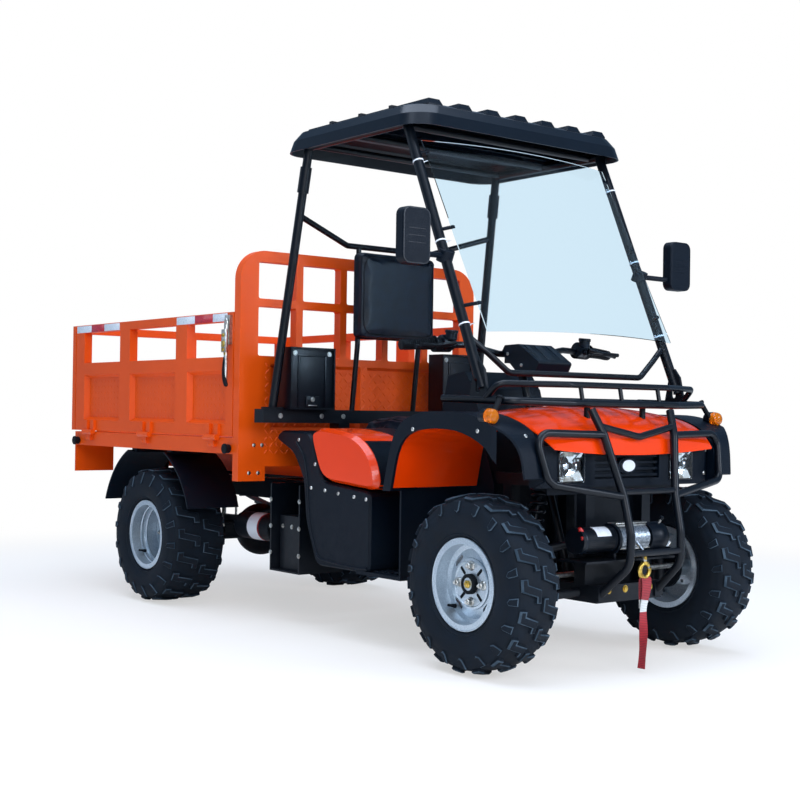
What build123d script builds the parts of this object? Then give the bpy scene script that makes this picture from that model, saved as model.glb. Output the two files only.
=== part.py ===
from build123d import *
import math
import os

# A farm quad bike with a canopy and a tipping cargo bed, in millimetres.
# +X is forward, +Y is the rider's left, +Z is up, and the origin is on the ground
# under the middle of the machine. Pieces at the front are placed from the front axle.

# Whole machine
WHEELBASE = 1950.0
FRONT_OVERHANG = 310.0      # front axle to the foremost tube of the bumper
REAR_OVERHANG = 710.0       # rear axle to the back of the tailgate hinges
LENGTH = FRONT_OVERHANG + WHEELBASE + REAR_OVERHANG
FRONT_X = LENGTH / 2 - FRONT_OVERHANG
REAR_X = FRONT_X - WHEELBASE
RUN_GAP = 0.3               # radial clearance of a pin or a shaft
SEAT_GAP = 0.3              # a soft or fitted piece lies this far from its seat
SWING_GAP = 6.0             # a panel that swings keeps this far from its neighbours

# Wheels
TYRE_R = 276.0
AXLE_Z = TYRE_R
RIM_LIP_R = 140.0
RIM_SEAT_R = 127.0
RIM_WALL = 5.0
RIM_LIP_T = 6.0
TYRE_SIDES = 36             # flats round the carcass, each with a lug
SHOULDER_IN = 14.0
BEAD_GAP = 3.0
LUG_GAP = 3.0               # between a lug's end and the middle or the edge of the tread
LUG_H = 13.0
LUG_W = 20.0
LUG_FILL = 0.94             # share of its flat that a slanted lug takes up round the tyre
STUD_CIRCLE = 110.0
STUD_COUNT = 4
STUD_HOLE_R = 6.5
SLOT_R = 92.0               # radius of the ring of slots in the disc
SLOT_W = 15.0
SLOT_L = 44.0
SPINDLE_R = 14.0
HUB_R = 34.0
CAP_R = 27.0
CAP_H = 14.0
FRONT_HALF_TRACK = 462.0
REAR_HALF_TRACK = 456.0

# Steering
KINGPIN_Y = 366.0
KINGPIN_R = 10.0
KNUCKLE_R = 21.0
KNUCKLE_H = 110.0
STEER_ARM = 80.0            # kingpin to the pin of the tie rod, which lies in front
COLUMN_TOP = (FRONT_X - 330.0, 985.0)
COLUMN_FOOT = (FRONT_X - 90.0, 300.0)
COLUMN_R = 14.0
BEARING_GAP = 0.5

# Frame
RAIL_Y = 110.0              # inner face of the front rails
RAIL_W = 40.0
LOWER_RAIL_Z = (215.0, 265.0)
UPPER_RAIL_Z = (560.0, 600.0)
REAR_RAIL_Y = 170.0
REAR_RAIL_W = 50.0
REAR_RAIL_Z = (440.0, 520.0)
WAIST_X = (150.0, 200.0)    # plates that join the front and the rear rails
NOSE_X = FRONT_X + 190.0    # front end of the lower rails
FRAME_POST_X = FRONT_X + 100.0
HITCH_T = 12.0
HITCH_HOLE_R = 11.0

# Bed
BED_FRONT_X = FRONT_X - 1219.0
BED_SIDE_REAR_X = FRONT_X - 2598.0
BED_HALF_W = 578.0
SIDE_T = 36.0
BED_FLOOR_Z = 690.0
SIDE_TOP_Z = 1162.0
SIDE_MID_Z = 994.0          # top of the solid lower panel
TOP_RAIL_H = 34.0
POST_W = 84.0
SILL_Z = 630.0              # underside of the outer rails
GUARD_T = 40.0
GUARD_TOP_Z = 1395.0
GUARD_FOOT_Z = 530.0
TILT_X = REAR_X - 555.0
TILT_Z = 562.0
TILT_PIN_R = 14.0
HINGE_OUT = 14.0            # face of a panel to the axis of its hinges
HINGE_R = 11.0
HINGE_PIN_R = 6.0
GATE_T = 30.0
SUBSILL_Y = 120.0
SUBSILL_W = 45.0
MUDGUARD_R = 372.0
MUDGUARD_T = 6.0

# Cab
PILLAR_R = 17.0
PILLAR_Y = 458.0
REAR_PILLAR_Y = 500.0
ROOF_X = (FRONT_X - 1078.0, FRONT_X - 290.0)
ROOF_HALF_W = 505.0
ROOF_LIP_Z = 1733.0
ROOF_H = 90.0
ROOF_TOP_Z = ROOF_LIP_Z + ROOF_H
ROOF_CORNER = 90.0
ROOF_WALL = 6.0
RIB_H = 8.0
BEAM_X = (35.0, 95.0)
BEAM_Z = (750.0, 800.0)
BEAM_HALF_W = 560.0
GLASS_T = 4.0

# Rack and bumper
RACK_R = 12.0
RACK_Z = 842.0
RACK_HALF_W = 460.0
BUMPER_R = 13.0


def ahead(dx):
    """X of a place that is dx in front of the front axle."""
    return FRONT_X + dx


def box(x, y, z):
    """A block between two values on each axis."""
    size = [abs(pair[1] - pair[0]) for pair in (x, y, z)]
    middle = [(pair[0] + pair[1]) / 2 for pair in (x, y, z)]
    return Pos(*middle) * Box(*size)


def rod(start, end, radius):
    """A round bar from point to point."""
    axis = Vector(end) - Vector(start)
    return extrude(Plane(origin=start, z_dir=axis) * Circle(radius), axis.length)


def tube(points, radius, bend):
    """A round bar along straight runs joined by tangent bends."""
    path = FilletPolyline(*points, radius=bend)
    return sweep(Plane(origin=path @ 0, z_dir=path % 0) * Circle(radius), path)


def plate(outline, y0, y1):
    """An outline of (x, z) points, thick from y0 to y1."""
    face = make_face(Polyline(*[(x, y0, z) for x, z in outline], close=True))
    return extrude(face, abs(y1 - y0), dir=(0, math.copysign(1, y1 - y0), 0))


def eased(points, reach=45.0, steps=4, closed=False):
    """The same run of (x, z) points with each inner corner turned into a short curve."""
    if closed:
        points = [points[-1], *points, points[0]]
    run = [] if closed else [points[0]]
    for before, corner, after in zip(points, points[1:], points[2:]):
        ends = []
        for other in (before, after):
            away = math.dist(corner, other)
            part = min(reach, away * 0.45) / away
            ends.append([c + (o - c) * part for c, o in zip(corner, other)])
        for k in range(steps + 1):
            u = k / steps
            run.append(tuple((1 - u) ** 2 * a + 2 * u * (1 - u) * c + u * u * b
                             for a, c, b in zip(ends[0], corner, ends[1])))
    return run if closed else run + [points[-1]]


def mirrored(shape):
    """The same piece on the other side of the machine."""
    return mirror(shape, about=Plane.XZ)


def pair(shape):
    """A piece and its mirror image, as one node of separate solids."""
    return Compound(children=[*shape.solids(), *mirrored(shape).solids()])


def on_line(start, end, z):
    """The point of a straight line that is at height z."""
    share = (z - start[2]) / (end[2] - start[2])
    return tuple(a + share * (b - a) for a, b in zip(start, end))


NODES = {}
column_axis = Vector(COLUMN_TOP[0] - COLUMN_FOOT[0], 0, COLUMN_TOP[1] - COLUMN_FOOT[1]).normalized()
column_foot = Vector(COLUMN_FOOT[0], 0, COLUMN_FOOT[1])
column_top = Vector(COLUMN_TOP[0], 0, COLUMN_TOP[1])


# Wheels. Each row: name, axle X, side (+1 left), half track, tyre width, rim width,
# and how far the disc stands outside the middle plane.
WHEELS = (
    ("front_left", FRONT_X, 1, FRONT_HALF_TRACK, 178.0, 150.0, 30.0),
    ("front_right", FRONT_X, -1, FRONT_HALF_TRACK, 178.0, 150.0, 30.0),
    ("rear_left", REAR_X, 1, REAR_HALF_TRACK, 250.0, 214.0, -10.0),
    ("rear_right", REAR_X, -1, REAR_HALF_TRACK, 250.0, 214.0, -10.0),
)
DISC_T = 9.0
HUB_LEN = 62.0


def around_axle(outline_face):
    """Turns a section of (outward, radius) about the axle, which runs along Y."""
    return revolve(Plane.YZ * outline_face, Axis.Y, 360)


def make_rim(width, disc_out):
    """A pressed steel rim: barrel with two lips, slotted disc, hub and cap."""
    half = width / 2
    barrel_r = RIM_SEAT_R - RIM_WALL
    seat_half = half - RIM_LIP_T
    outline = Polyline(
        (-half, barrel_r), (-half, RIM_LIP_R), (-seat_half, RIM_LIP_R), (-seat_half, RIM_SEAT_R),
        (seat_half, RIM_SEAT_R), (seat_half, RIM_LIP_R), (half, RIM_LIP_R), (half, barrel_r),
        (disc_out, barrel_r), (disc_out - 4, SLOT_R + SLOT_W), (disc_out + 8, STUD_CIRCLE / 2 + 14),
        (disc_out + 8, SPINDLE_R + RUN_GAP), (disc_out + 8 - HUB_LEN, SPINDLE_R + RUN_GAP),
        (disc_out + 8 - HUB_LEN, HUB_R), (disc_out - DISC_T, HUB_R),
        (disc_out - DISC_T, STUD_CIRCLE / 2 + 12), (disc_out - DISC_T - 12, SLOT_R + SLOT_W),
        (disc_out - DISC_T, barrel_r), close=True)
    rim = around_axle(make_face(outline))
    cap = Pos(0, disc_out + 8, 0) * extrude(Plane.XZ * Circle(CAP_R), -CAP_H)
    rim += cap
    stud = extrude(Plane.XZ * Circle(STUD_HOLE_R), 200, both=True)
    slot = extrude(Plane.XZ * SlotOverall(SLOT_L, SLOT_W), 200, both=True)
    for k in range(STUD_COUNT):
        turn = 360.0 / STUD_COUNT * k
        rim -= Rot(0, turn, 0) * Pos(STUD_CIRCLE / 2, 0, 0) * stud
        rim -= Rot(0, turn + 180.0 / STUD_COUNT, 0) * Pos(0, 0, SLOT_R) * slot
    return rim


def flat_ring(loop):
    """A solid of plane faces round the axle, from a closed loop of (outward, radius) points."""
    angles = [2 * math.pi * k / TYRE_SIDES for k in range(TYRE_SIDES)]
    faces = []
    for (out_a, r_a), (out_b, r_b) in zip(loop, loop[1:] + loop[:1]):
        for a, b in zip(angles, angles[1:] + angles[:1]):
            corners = [(r_a, out_a, a), (r_b, out_b, a), (r_b, out_b, b), (r_a, out_a, b)]
            points = [(r * math.cos(turn), out, r * math.sin(turn)) for r, out, turn in corners]
            faces.append(make_face(Polyline(*points, close=True)))
    return Solid(Shell(faces))


def make_tyre(width, rim_width):
    """A tyre seated between the rim's lips, with two staggered rows of slanted lugs."""
    half = width / 2
    foot = rim_width / 2 - RIM_LIP_T - SEAT_GAP
    edge = half - SHOULDER_IN
    waist_r = (RIM_LIP_R + TYRE_R) / 2
    crown_r = TYRE_R - LUG_H
    bead_r = RIM_LIP_R + BEAD_GAP
    bore_r = (RIM_SEAT_R + SEAT_GAP) / math.cos(math.pi / TYRE_SIDES)
    # columns: outward from the middle plane, radius
    tyre = flat_ring([(-foot, bore_r), (-foot, bead_r), (-half, waist_r), (-edge, crown_r),
                      (edge, crown_r), (half, waist_r), (foot, bead_r), (foot, bore_r)])
    lugs = []
    lug_len = edge - 2 * LUG_GAP
    flat_w = 2 * crown_r * math.sin(math.pi / TYRE_SIDES)
    slant = math.asin((LUG_FILL * flat_w - LUG_W) / lug_len)
    corner = (LUG_W * math.cos(slant) + lug_len * math.sin(slant)) / 2
    top_r = math.sqrt(TYRE_R ** 2 - corner ** 2)
    half_flat = 180.0 / TYRE_SIDES
    # Each lug stands in the middle of a flat: one row takes every second flat, the other the rest
    for k in range(TYRE_SIDES):
        s = 1 if k % 2 else -1
        lug = Box(LUG_W, lug_len, 2 * LUG_H)
        lug = Pos(0, s * (LUG_GAP + lug_len / 2), top_r - LUG_H) * Rot(0, 0, s * math.degrees(slant)) * lug
        lugs.append(Rot(0, half_flat * (2 * k + 1), 0) * lug)
    # The wheel is turned so that the corner of one lug stands on the ground
    return Rot(0, half_flat - math.degrees(math.atan2(corner, top_r)), 0) * (tyre + lugs)


tyres = {}
for name, axle_x, side, half_track, tyre_w, rim_w, disc_out in WHEELS:
    place = Pos(axle_x, side * half_track, AXLE_Z)
    if side < 0:
        place = place * Rot(0, 0, 180)
    NODES["rim_" + name] = place * make_rim(rim_w, disc_out)
    NODES["tyre_" + name] = place * tyres.setdefault(tyre_w, make_tyre(tyre_w, rim_w))


# Frame: box-section rails, posts, cross members, skid plate and the bed's tilt pins
def make_frame():
    front_y = (RAIL_Y, RAIL_Y + RAIL_W)
    rear_y = (REAR_RAIL_Y, REAR_RAIL_Y + REAR_RAIL_W)
    rear_end = TILT_X - 40
    full_z = (LOWER_RAIL_Z[0], UPPER_RAIL_Z[1])
    spring_x = (REAR_X - SPRING_HALF, REAR_X + SPRING_HALF)
    half = box((WAIST_X[0], NOSE_X), front_y, LOWER_RAIL_Z)
    half += box((WAIST_X[0], FRAME_POST_X + RAIL_W), front_y, UPPER_RAIL_Z)
    half += box((rear_end, WAIST_X[1]), rear_y, REAR_RAIL_Z)
    half += box(WAIST_X, (RAIL_Y, REAR_RAIL_Y + REAR_RAIL_W), full_z)
    half += box((FRAME_POST_X, FRAME_POST_X + 5), (0, RAIL_Y + RAIL_W), full_z)
    for post_x in (FRAME_POST_X, ahead(-240)):
        half += box((post_x, post_x + RAIL_W), front_y, full_z)
    half += box((ahead(-30), ahead(30)), (RAIL_Y, SHOCK_TOP_Y + 25),
                (UPPER_RAIL_Z[1] - 25, UPPER_RAIL_Z[1]))
    half += box((TILT_X - 30, TILT_X + 30), rear_y, (REAR_RAIL_Z[1], TILT_Z + 28))
    half += rod((TILT_X, SUBSILL_Y - 4, TILT_Z), (TILT_X, rear_y[1], TILT_Z), TILT_PIN_R)
    half += box(BEAM_X, rear_y, (REAR_RAIL_Z[1], BEAM_Z[0]))
    for x in spring_x:
        half += box((x - 22, x + 22), rear_y, (SPRING_END_Z + SPRING_T, REAR_RAIL_Z[0]))
    frame = half + mirrored(half)
    across = (-RAIL_Y, RAIL_Y)
    for x in (WAIST_X[0], 480.0, 760.0, NOSE_X - 50):
        frame += box((x, x + 50), across, LOWER_RAIL_Z)
    for x in (WAIST_X[0], FRAME_POST_X - 10):
        frame += box((x, x + 50), across, UPPER_RAIL_Z)
    for x in (TILT_X + 90, REAR_X + 380, WAIST_X[0]):
        frame += box((x, x + 50), (-REAR_RAIL_Y, REAR_RAIL_Y), REAR_RAIL_Z)
    frame += box((rear_end, rear_end + 40), (-REAR_RAIL_Y, REAR_RAIL_Y),
                 (REAR_RAIL_Z[0], REAR_RAIL_Z[0] + 38))
    frame += box((HITCH_X - 25, rear_end), (-50, 50), (REAR_RAIL_Z[0], REAR_RAIL_Z[0] + HITCH_T))
    frame -= rod((HITCH_X, 0, REAR_RAIL_Z[0] - 5), (HITCH_X, 0, REAR_RAIL_Z[0] + HITCH_T + 5), HITCH_HOLE_R)
    foot_x = COLUMN_FOOT[0]
    frame += box((foot_x - 20, foot_x + 50), across, LOWER_RAIL_Z)
    frame += rod(column_foot - column_axis * 60, column_foot - column_axis * BEARING_GAP, COLUMN_R + 10)
    head = column_foot + column_axis * ((UPPER_RAIL_Z[1] - COLUMN_FOOT[1]) / column_axis.Z)
    frame += box((head.X - 40, head.X + 40), across, (UPPER_RAIL_Z[1] - 25, UPPER_RAIL_Z[1]))
    frame -= rod(column_foot - column_axis * BEARING_GAP, column_top, COLUMN_R + RUN_GAP)
    skid_z = LOWER_RAIL_Z[0]
    frame += box((WAIST_X[0], NOSE_X), (-RAIL_Y - RAIL_W, RAIL_Y + RAIL_W), (skid_z - 4, skid_z))
    return frame


HITCH_X = TILT_X - 75.0
SPRING_HALF = 450.0         # axle to the eye of a leaf spring
SPRING_END_Z = 405.0
SPRING_T = 8.0
SPRING_W = 45.0
SHOCK_TOP_Y = 205.0
SHOCK_R = 27.0
FRAME = make_frame()
NODES["frame"] = FRAME

# Engine: one plain block between the rails
ENGINE_X = (350.0, 750.0)
ENGINE_TOP = 430.0
CYLINDER_X = (520.0, 700.0)
engine_y = (-RAIL_Y + 4, RAIL_Y - 4)
engine = box(ENGINE_X, engine_y, (LOWER_RAIL_Z[1], ENGINE_TOP))
engine += box(CYLINDER_X, (-80, 80), (ENGINE_TOP, UPPER_RAIL_Z[0] - 5))
NODES["engine"] = engine

# Rear axle: tube, differential, brake drums, spindles and the shaft from the engine
DIFF_R = 112.0
AXLE_TUBE_R = 36.0
DRUM_R = 88.0
DRUM_Y = (REAR_HALF_TRACK - 132.0, REAR_HALF_TRACK - 84.0)
SHAFT_R = 24.0
SHAFT_Z = 330.0
rear_hub_out = REAR_HALF_TRACK + WHEELS[2][6] + 8
axle = rod((REAR_X, -DRUM_Y[0], AXLE_Z), (REAR_X, DRUM_Y[0], AXLE_Z), AXLE_TUBE_R)
axle += Pos(REAR_X, 0, AXLE_Z) * Sphere(DIFF_R)
axle += rod((REAR_X, 0, AXLE_Z), (ENGINE_X[0], 0, SHAFT_Z), SHAFT_R)
for s in (-1, 1):
    axle += rod((REAR_X, s * DRUM_Y[0], AXLE_Z), (REAR_X, s * DRUM_Y[1], AXLE_Z), DRUM_R)
    axle += rod((REAR_X, s * DRUM_Y[1], AXLE_Z), (REAR_X, s * (rear_hub_out - 1), AXLE_Z), SPINDLE_R)
    axle += box((REAR_X - 50, REAR_X + 50), (s * REAR_RAIL_Y, s * (REAR_RAIL_Y + SPRING_W)),
                (AXLE_Z, AXLE_Z + AXLE_TUBE_R + 12))
NODES["rear_axle"] = axle - engine

# Leaf springs: three arcs that sag onto the axle seats, hung from the rails
LEAF_SHARES = (1.0, 0.72, 0.45)     # length of each leaf as a share of the main leaf
seat_z = AXLE_Z + AXLE_TUBE_R + 12


def leaf(share, level):
    """One leaf: an arc in side view that rises from the axle seat to its ends."""
    low = seat_z + SEAT_GAP + level * SPRING_T
    reach = SPRING_HALF * share
    rise = (SPRING_END_Z - seat_z - 2 * SPRING_T) * share ** 2
    y0 = REAR_RAIL_Y
    points = [(REAR_X - reach, low + rise), (REAR_X, low), (REAR_X + reach, low + rise)]
    lower = ThreePointArc(*[(x, y0, z) for x, z in points])
    upper = ThreePointArc(*[(x, y0, z + SPRING_T) for x, z in reversed(points)])
    ends = [Line(lower @ 1, upper @ 0), Line(upper @ 1, lower @ 0)]
    return extrude(make_face([lower, ends[0], upper, ends[1]]), SPRING_W, dir=(0, 1, 0))


spring = leaf(LEAF_SHARES[0], 2)
for level, share in ((1, LEAF_SHARES[1]), (0, LEAF_SHARES[2])):
    spring += leaf(share, level)
for end in (-1, 1):
    eye_x = REAR_X + end * SPRING_HALF
    spring += rod((eye_x, REAR_RAIL_Y, SPRING_END_Z - 4),
                  (eye_x, REAR_RAIL_Y + SPRING_W, SPRING_END_Z - 4), 12)
NODES["leaf_springs"] = pair(spring - FRAME)

# Front suspension: lower and upper arms with the kingpin, and coil-over shocks
ARM_R = 13.0
ARM_SPREAD = 110.0
LOWER_ARM_Z = (238.0, AXLE_Z - KNUCKLE_H / 2 - 14.5)
UPPER_ARM_Z = (395.0, AXLE_Z + KNUCKLE_H / 2 + 14.5)
ARM_EYE_H = 28.0
arm_root = RAIL_Y + RAIL_W - 4
arms = rod((FRONT_X, KINGPIN_Y, LOWER_ARM_Z[1]), (FRONT_X, KINGPIN_Y, UPPER_ARM_Z[1]), KINGPIN_R)
for root_z, eye_z in (LOWER_ARM_Z, UPPER_ARM_Z):
    arms += rod((FRONT_X, KINGPIN_Y, eye_z - ARM_EYE_H / 2), (FRONT_X, KINGPIN_Y, eye_z + ARM_EYE_H / 2),
                18)
    for end in (-1, 1):
        arms += rod((ahead(end * ARM_SPREAD), arm_root, root_z), (FRONT_X, KINGPIN_Y, eye_z), ARM_R)
for end in (-1, 1):
    post = ahead(end * ARM_SPREAD)
    arms += box((post - 18, post + 18), (RAIL_Y + RAIL_W, RAIL_Y + RAIL_W + 14), (365, 425))
    arms += box((post - 18, post + 18), (RAIL_Y + 6, RAIL_Y + RAIL_W), (LOWER_RAIL_Z[1], 425))
knuckle_room = rod((FRONT_X, KINGPIN_Y, AXLE_Z - KNUCKLE_H / 2 - BEARING_GAP),
                   (FRONT_X, KINGPIN_Y, AXLE_Z + KNUCKLE_H / 2 + BEARING_GAP), KNUCKLE_R + 6)
knuckle_room -= rod((FRONT_X, KINGPIN_Y, 0), (FRONT_X, KINGPIN_Y, 2 * AXLE_Z), KINGPIN_R)
arms -= FRAME + knuckle_room
NODES["front_arms"] = pair(arms)

SHOCK_FOOT = (FRONT_X, 292.0, 232.0)
SHOCK_HEAD = (FRONT_X, SHOCK_TOP_Y, UPPER_RAIL_Z[1] - 25)
shock = rod(SHOCK_FOOT, SHOCK_HEAD, 14)
for share, length in ((0.16, 0.05), (0.92, 0.05)):
    low = tuple(a + share * (b - a) for a, b in zip(SHOCK_FOOT, SHOCK_HEAD))
    high = tuple(a + (share + length) * (b - a) for a, b in zip(SHOCK_FOOT, SHOCK_HEAD))
    shock += rod(low, high, SHOCK_R + 4)
coil_low = tuple(a + 0.21 * (b - a) for a, b in zip(SHOCK_FOOT, SHOCK_HEAD))
coil_high = tuple(a + 0.92 * (b - a) for a, b in zip(SHOCK_FOOT, SHOCK_HEAD))
shock += rod(coil_low, coil_high, SHOCK_R)
shock += rod((SHOCK_FOOT[0] - 45, SHOCK_FOOT[1], SHOCK_FOOT[2]),
             (SHOCK_FOOT[0] + 45, SHOCK_FOOT[1], SHOCK_FOOT[2]), 12)
NODES["front_shocks"] = pair(shock - arms - FRAME)

# Knuckles, the tie rod between them, and the steering column with its handlebar
FRONT_HUB_OUT = WHEELS[0][6] + 8
TIE_ROD_R = 9.0
STEER_ARM_Z = (AXLE_Z + 33.0, AXLE_Z + 43.0)
TIE_DROP = 0.5
TIE_PIN_H = 8.0


def make_knuckle(side):
    axis = (FRONT_X, side * KINGPIN_Y)
    low, high = AXLE_Z - KNUCKLE_H / 2, AXLE_Z + KNUCKLE_H / 2
    body = rod((*axis, low), (*axis, high), KNUCKLE_R)
    outer = side * (FRONT_HALF_TRACK + FRONT_HUB_OUT - 1)
    body += rod((axis[0], axis[1], AXLE_Z), (axis[0], outer, AXLE_Z), SPINDLE_R)
    body += rod((axis[0], side * (KINGPIN_Y + 18), AXLE_Z), (axis[0], side * (KINGPIN_Y + 32), AXLE_Z), 70)
    body += box((axis[0], axis[0] + STEER_ARM + 14), (axis[1] - 14, axis[1] + 14), STEER_ARM_Z)
    body -= rod((*axis, low - 5), (*axis, high + 5), KINGPIN_R + RUN_GAP)
    return body


NODES["knuckle_left"] = make_knuckle(1)
NODES["knuckle_right"] = make_knuckle(-1)
tie_z = STEER_ARM_Z[0] - TIE_DROP - TIE_ROD_R - TIE_PIN_H
tie_x = FRONT_X + STEER_ARM
tie = rod((tie_x, -KINGPIN_Y, tie_z), (tie_x, KINGPIN_Y, tie_z), TIE_ROD_R)
for s in (-1, 1):
    tie += rod((tie_x, s * KINGPIN_Y, tie_z - 10), (tie_x, s * KINGPIN_Y, tie_z + TIE_ROD_R + TIE_PIN_H),
               11)
NODES["tie_rod"] = tie

BAR_R = 11.0
GRIP_Y = (362.0, 486.0)
GRIP_R = 17.0
GRIP_X = FRONT_X - 369.0
GRIP_Z = 1017.0
bar_mid = column_top + column_axis * 16
handlebar = rod(column_foot, column_top, COLUMN_R)
handlebar += tube([(GRIP_X, -GRIP_Y[1], GRIP_Z), (bar_mid.X - 10, -230, bar_mid.Z + 25),
                   (bar_mid.X, -90, bar_mid.Z),
                   (bar_mid.X, 90, bar_mid.Z), (bar_mid.X - 10, 230, bar_mid.Z + 25),
                   (GRIP_X, GRIP_Y[1], GRIP_Z)], BAR_R, 40)
handlebar += box((bar_mid.X - 24, bar_mid.X + 24), (-40, 40), (bar_mid.Z - 30, bar_mid.Z + 8))
NODES["handlebar"] = handlebar

# Grips, switch blocks, levers and brake reservoirs on the bar
controls = None
for s in (-1, 1):
    tip = Vector(GRIP_X, s * GRIP_Y[1], GRIP_Z)
    inner = Vector(bar_mid.X - 10, s * 230, bar_mid.Z + 25)
    along = (inner - tip).normalized()
    grip = rod(tip - along * 4, tip + along * (GRIP_Y[1] - GRIP_Y[0]), GRIP_R)
    block_at = tip + along * (GRIP_Y[1] - GRIP_Y[0])
    grip += rod(block_at, block_at + along * 62, 25)
    lever_at = block_at + along * 46
    grip += rod(lever_at, lever_at + Vector(48, 0, -4), 10)
    grip += rod(lever_at + Vector(48, 0, -4), lever_at + Vector(56, s * 150, -8), 7)
    grip -= handlebar
    controls = grip.solids() if controls is None else controls + grip.solids()
NODES["handlebar_controls"] = Compound(children=controls)

# Instrument pod on the bar
POD_HALF_W = 78.0
pod_outline = [(ahead(-335), 1006), (ahead(-318), 1030), (ahead(-250), 1032), (ahead(-150), 968),
               (ahead(-168), 935), (ahead(-262), 940)]
pod = plate(pod_outline, -POD_HALF_W, POD_HALF_W)
pod = fillet(pod.edges().filter_by(Axis.Y), 8)
NODES["instrument_pod"] = pod - handlebar

# Front rack: a bowed perimeter, slats, a raised front fence and legs to the frame
RACK_REAR_DX = -190.0
FENCE_H = 46.0
SLAT_YS = (-330.0, -220.0, -110.0, 0.0, 110.0, 220.0, 330.0)
rack_front = [(110, 455), (165, 240)]
rack_loop = [(ahead(RACK_REAR_DX), -RACK_HALF_W, RACK_Z),
             (ahead(rack_front[0][0]), -rack_front[0][1], RACK_Z - 8),
             (ahead(rack_front[1][0]), -rack_front[1][1], RACK_Z - 12),
             (ahead(rack_front[1][0]), rack_front[1][1], RACK_Z - 12),
             (ahead(rack_front[0][0]), rack_front[0][1], RACK_Z - 8),
             (ahead(RACK_REAR_DX), RACK_HALF_W, RACK_Z)]
rack = tube(rack_loop, RACK_R, 45)
rack += rod((ahead(RACK_REAR_DX + 20), -RACK_HALF_W, RACK_Z),
            (ahead(RACK_REAR_DX + 20), RACK_HALF_W, RACK_Z), RACK_R - 2)
for y in SLAT_YS:
    reach = 163 if abs(y) < 235 else 128
    rack += rod((ahead(RACK_REAR_DX + 20), y, RACK_Z), (ahead(reach), y, RACK_Z - 11), 8)
fence = [(ahead(10), -RACK_HALF_W, RACK_Z), (ahead(58), -RACK_HALF_W + 6, RACK_Z + FENCE_H),
         (ahead(138), -225, RACK_Z + FENCE_H), (ahead(138), 225, RACK_Z + FENCE_H),
         (ahead(58), RACK_HALF_W - 6, RACK_Z + FENCE_H), (ahead(10), RACK_HALF_W, RACK_Z)]
rack += tube(fence, RACK_R - 2, 30)
for y in (-180, 0, 180):
    rack += rod((ahead(138), y, RACK_Z + FENCE_H), (ahead(150), y, RACK_Z - 11), 7)
for x in (ahead(-120), FRAME_POST_X + 20):
    for s in (-1, 1):
        rack += rod((x, s * (RAIL_Y + RAIL_W / 2), UPPER_RAIL_Z[1]),
                    (x, s * (RAIL_Y + RAIL_W / 2), RACK_Z - 8), 10)
        rack += rod((x, s * (RAIL_Y + RAIL_W / 2), RACK_Z - 14), (x, s * 110, RACK_Z - 6), 9)
NODES["front_rack"] = rack - FRAME
RACK = NODES["front_rack"]

# Bumper: two posts, side loops round the lamps and a dipped middle bar
POST_LINE = [(ahead(190), 184, 812), (ahead(225), 164, 734), (ahead(270), 120, 545),
             (ahead(FRONT_OVERHANG - BUMPER_R), 116, 430),
             (ahead(FRONT_OVERHANG - BUMPER_R), 118, 335), (NOSE_X + 2, 132, 240)]
bumper = None
for s in (-1, 1):
    post = tube([(x, s * y, z) for x, y, z in POST_LINE], BUMPER_R, 60)
    post += Pos(NOSE_X + 4, s * 132, 240) * Box(8, 36, 46)
    loop = [POST_LINE[1], (ahead(190), 425, 740), (ahead(226), 396, 587), POST_LINE[2]]
    post += tube([(x, s * y, z) for x, y, z in loop], BUMPER_R - 1, 42)
    bumper = post if bumper is None else bumper + post
bumper += tube([(ahead(214), -168, 760), (ahead(222), 0, 728), (ahead(214), 168, 760)], BUMPER_R - 2, 60)
for z, x in ((560, 267), (372, FRONT_OVERHANG - BUMPER_R)):
    bumper += rod((ahead(x), -118, z), (ahead(x), 118, z), BUMPER_R - 3)
NODES["bumper"] = bumper - FRAME - RACK

# Winch: mounting plate, motor, cable drum, gearbox and roller fairlead
WINCH_AT = (ahead(212), 412.0)
WINCH_PLATE_Z = 352.0
WINCH_REACH = 272.0         # the steered tyre passes beside the motor's end
winch_x = (FRAME_POST_X + RAIL_W, ahead(262))
winch = box(winch_x, (-WINCH_REACH, 130), (WINCH_PLATE_Z - 6, WINCH_PLATE_Z))
winch += box((winch_x[0], winch_x[0] + 6), (-RAIL_Y - RAIL_W, RAIL_Y + RAIL_W),
             (WINCH_PLATE_Z, WINCH_PLATE_Z + 60))
# columns: start Y, end Y, radius
for y0, y1, r in ((-WINCH_REACH, -120, 40), (-122, -112, 48), (-112, 28, 33), (28, 38, 48), (38, 110, 44)):
    winch += rod((WINCH_AT[0], y0, WINCH_AT[1]), (WINCH_AT[0], y1, WINCH_AT[1]), r)
for y in (-117, 33, 74):
    winch += box((WINCH_AT[0] - 22, WINCH_AT[0] + 22), (y - 5, y + 5), (WINCH_PLATE_Z, WINCH_AT[1]))
NODES["winch"] = winch - FRAME - NODES["bumper"]

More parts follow.
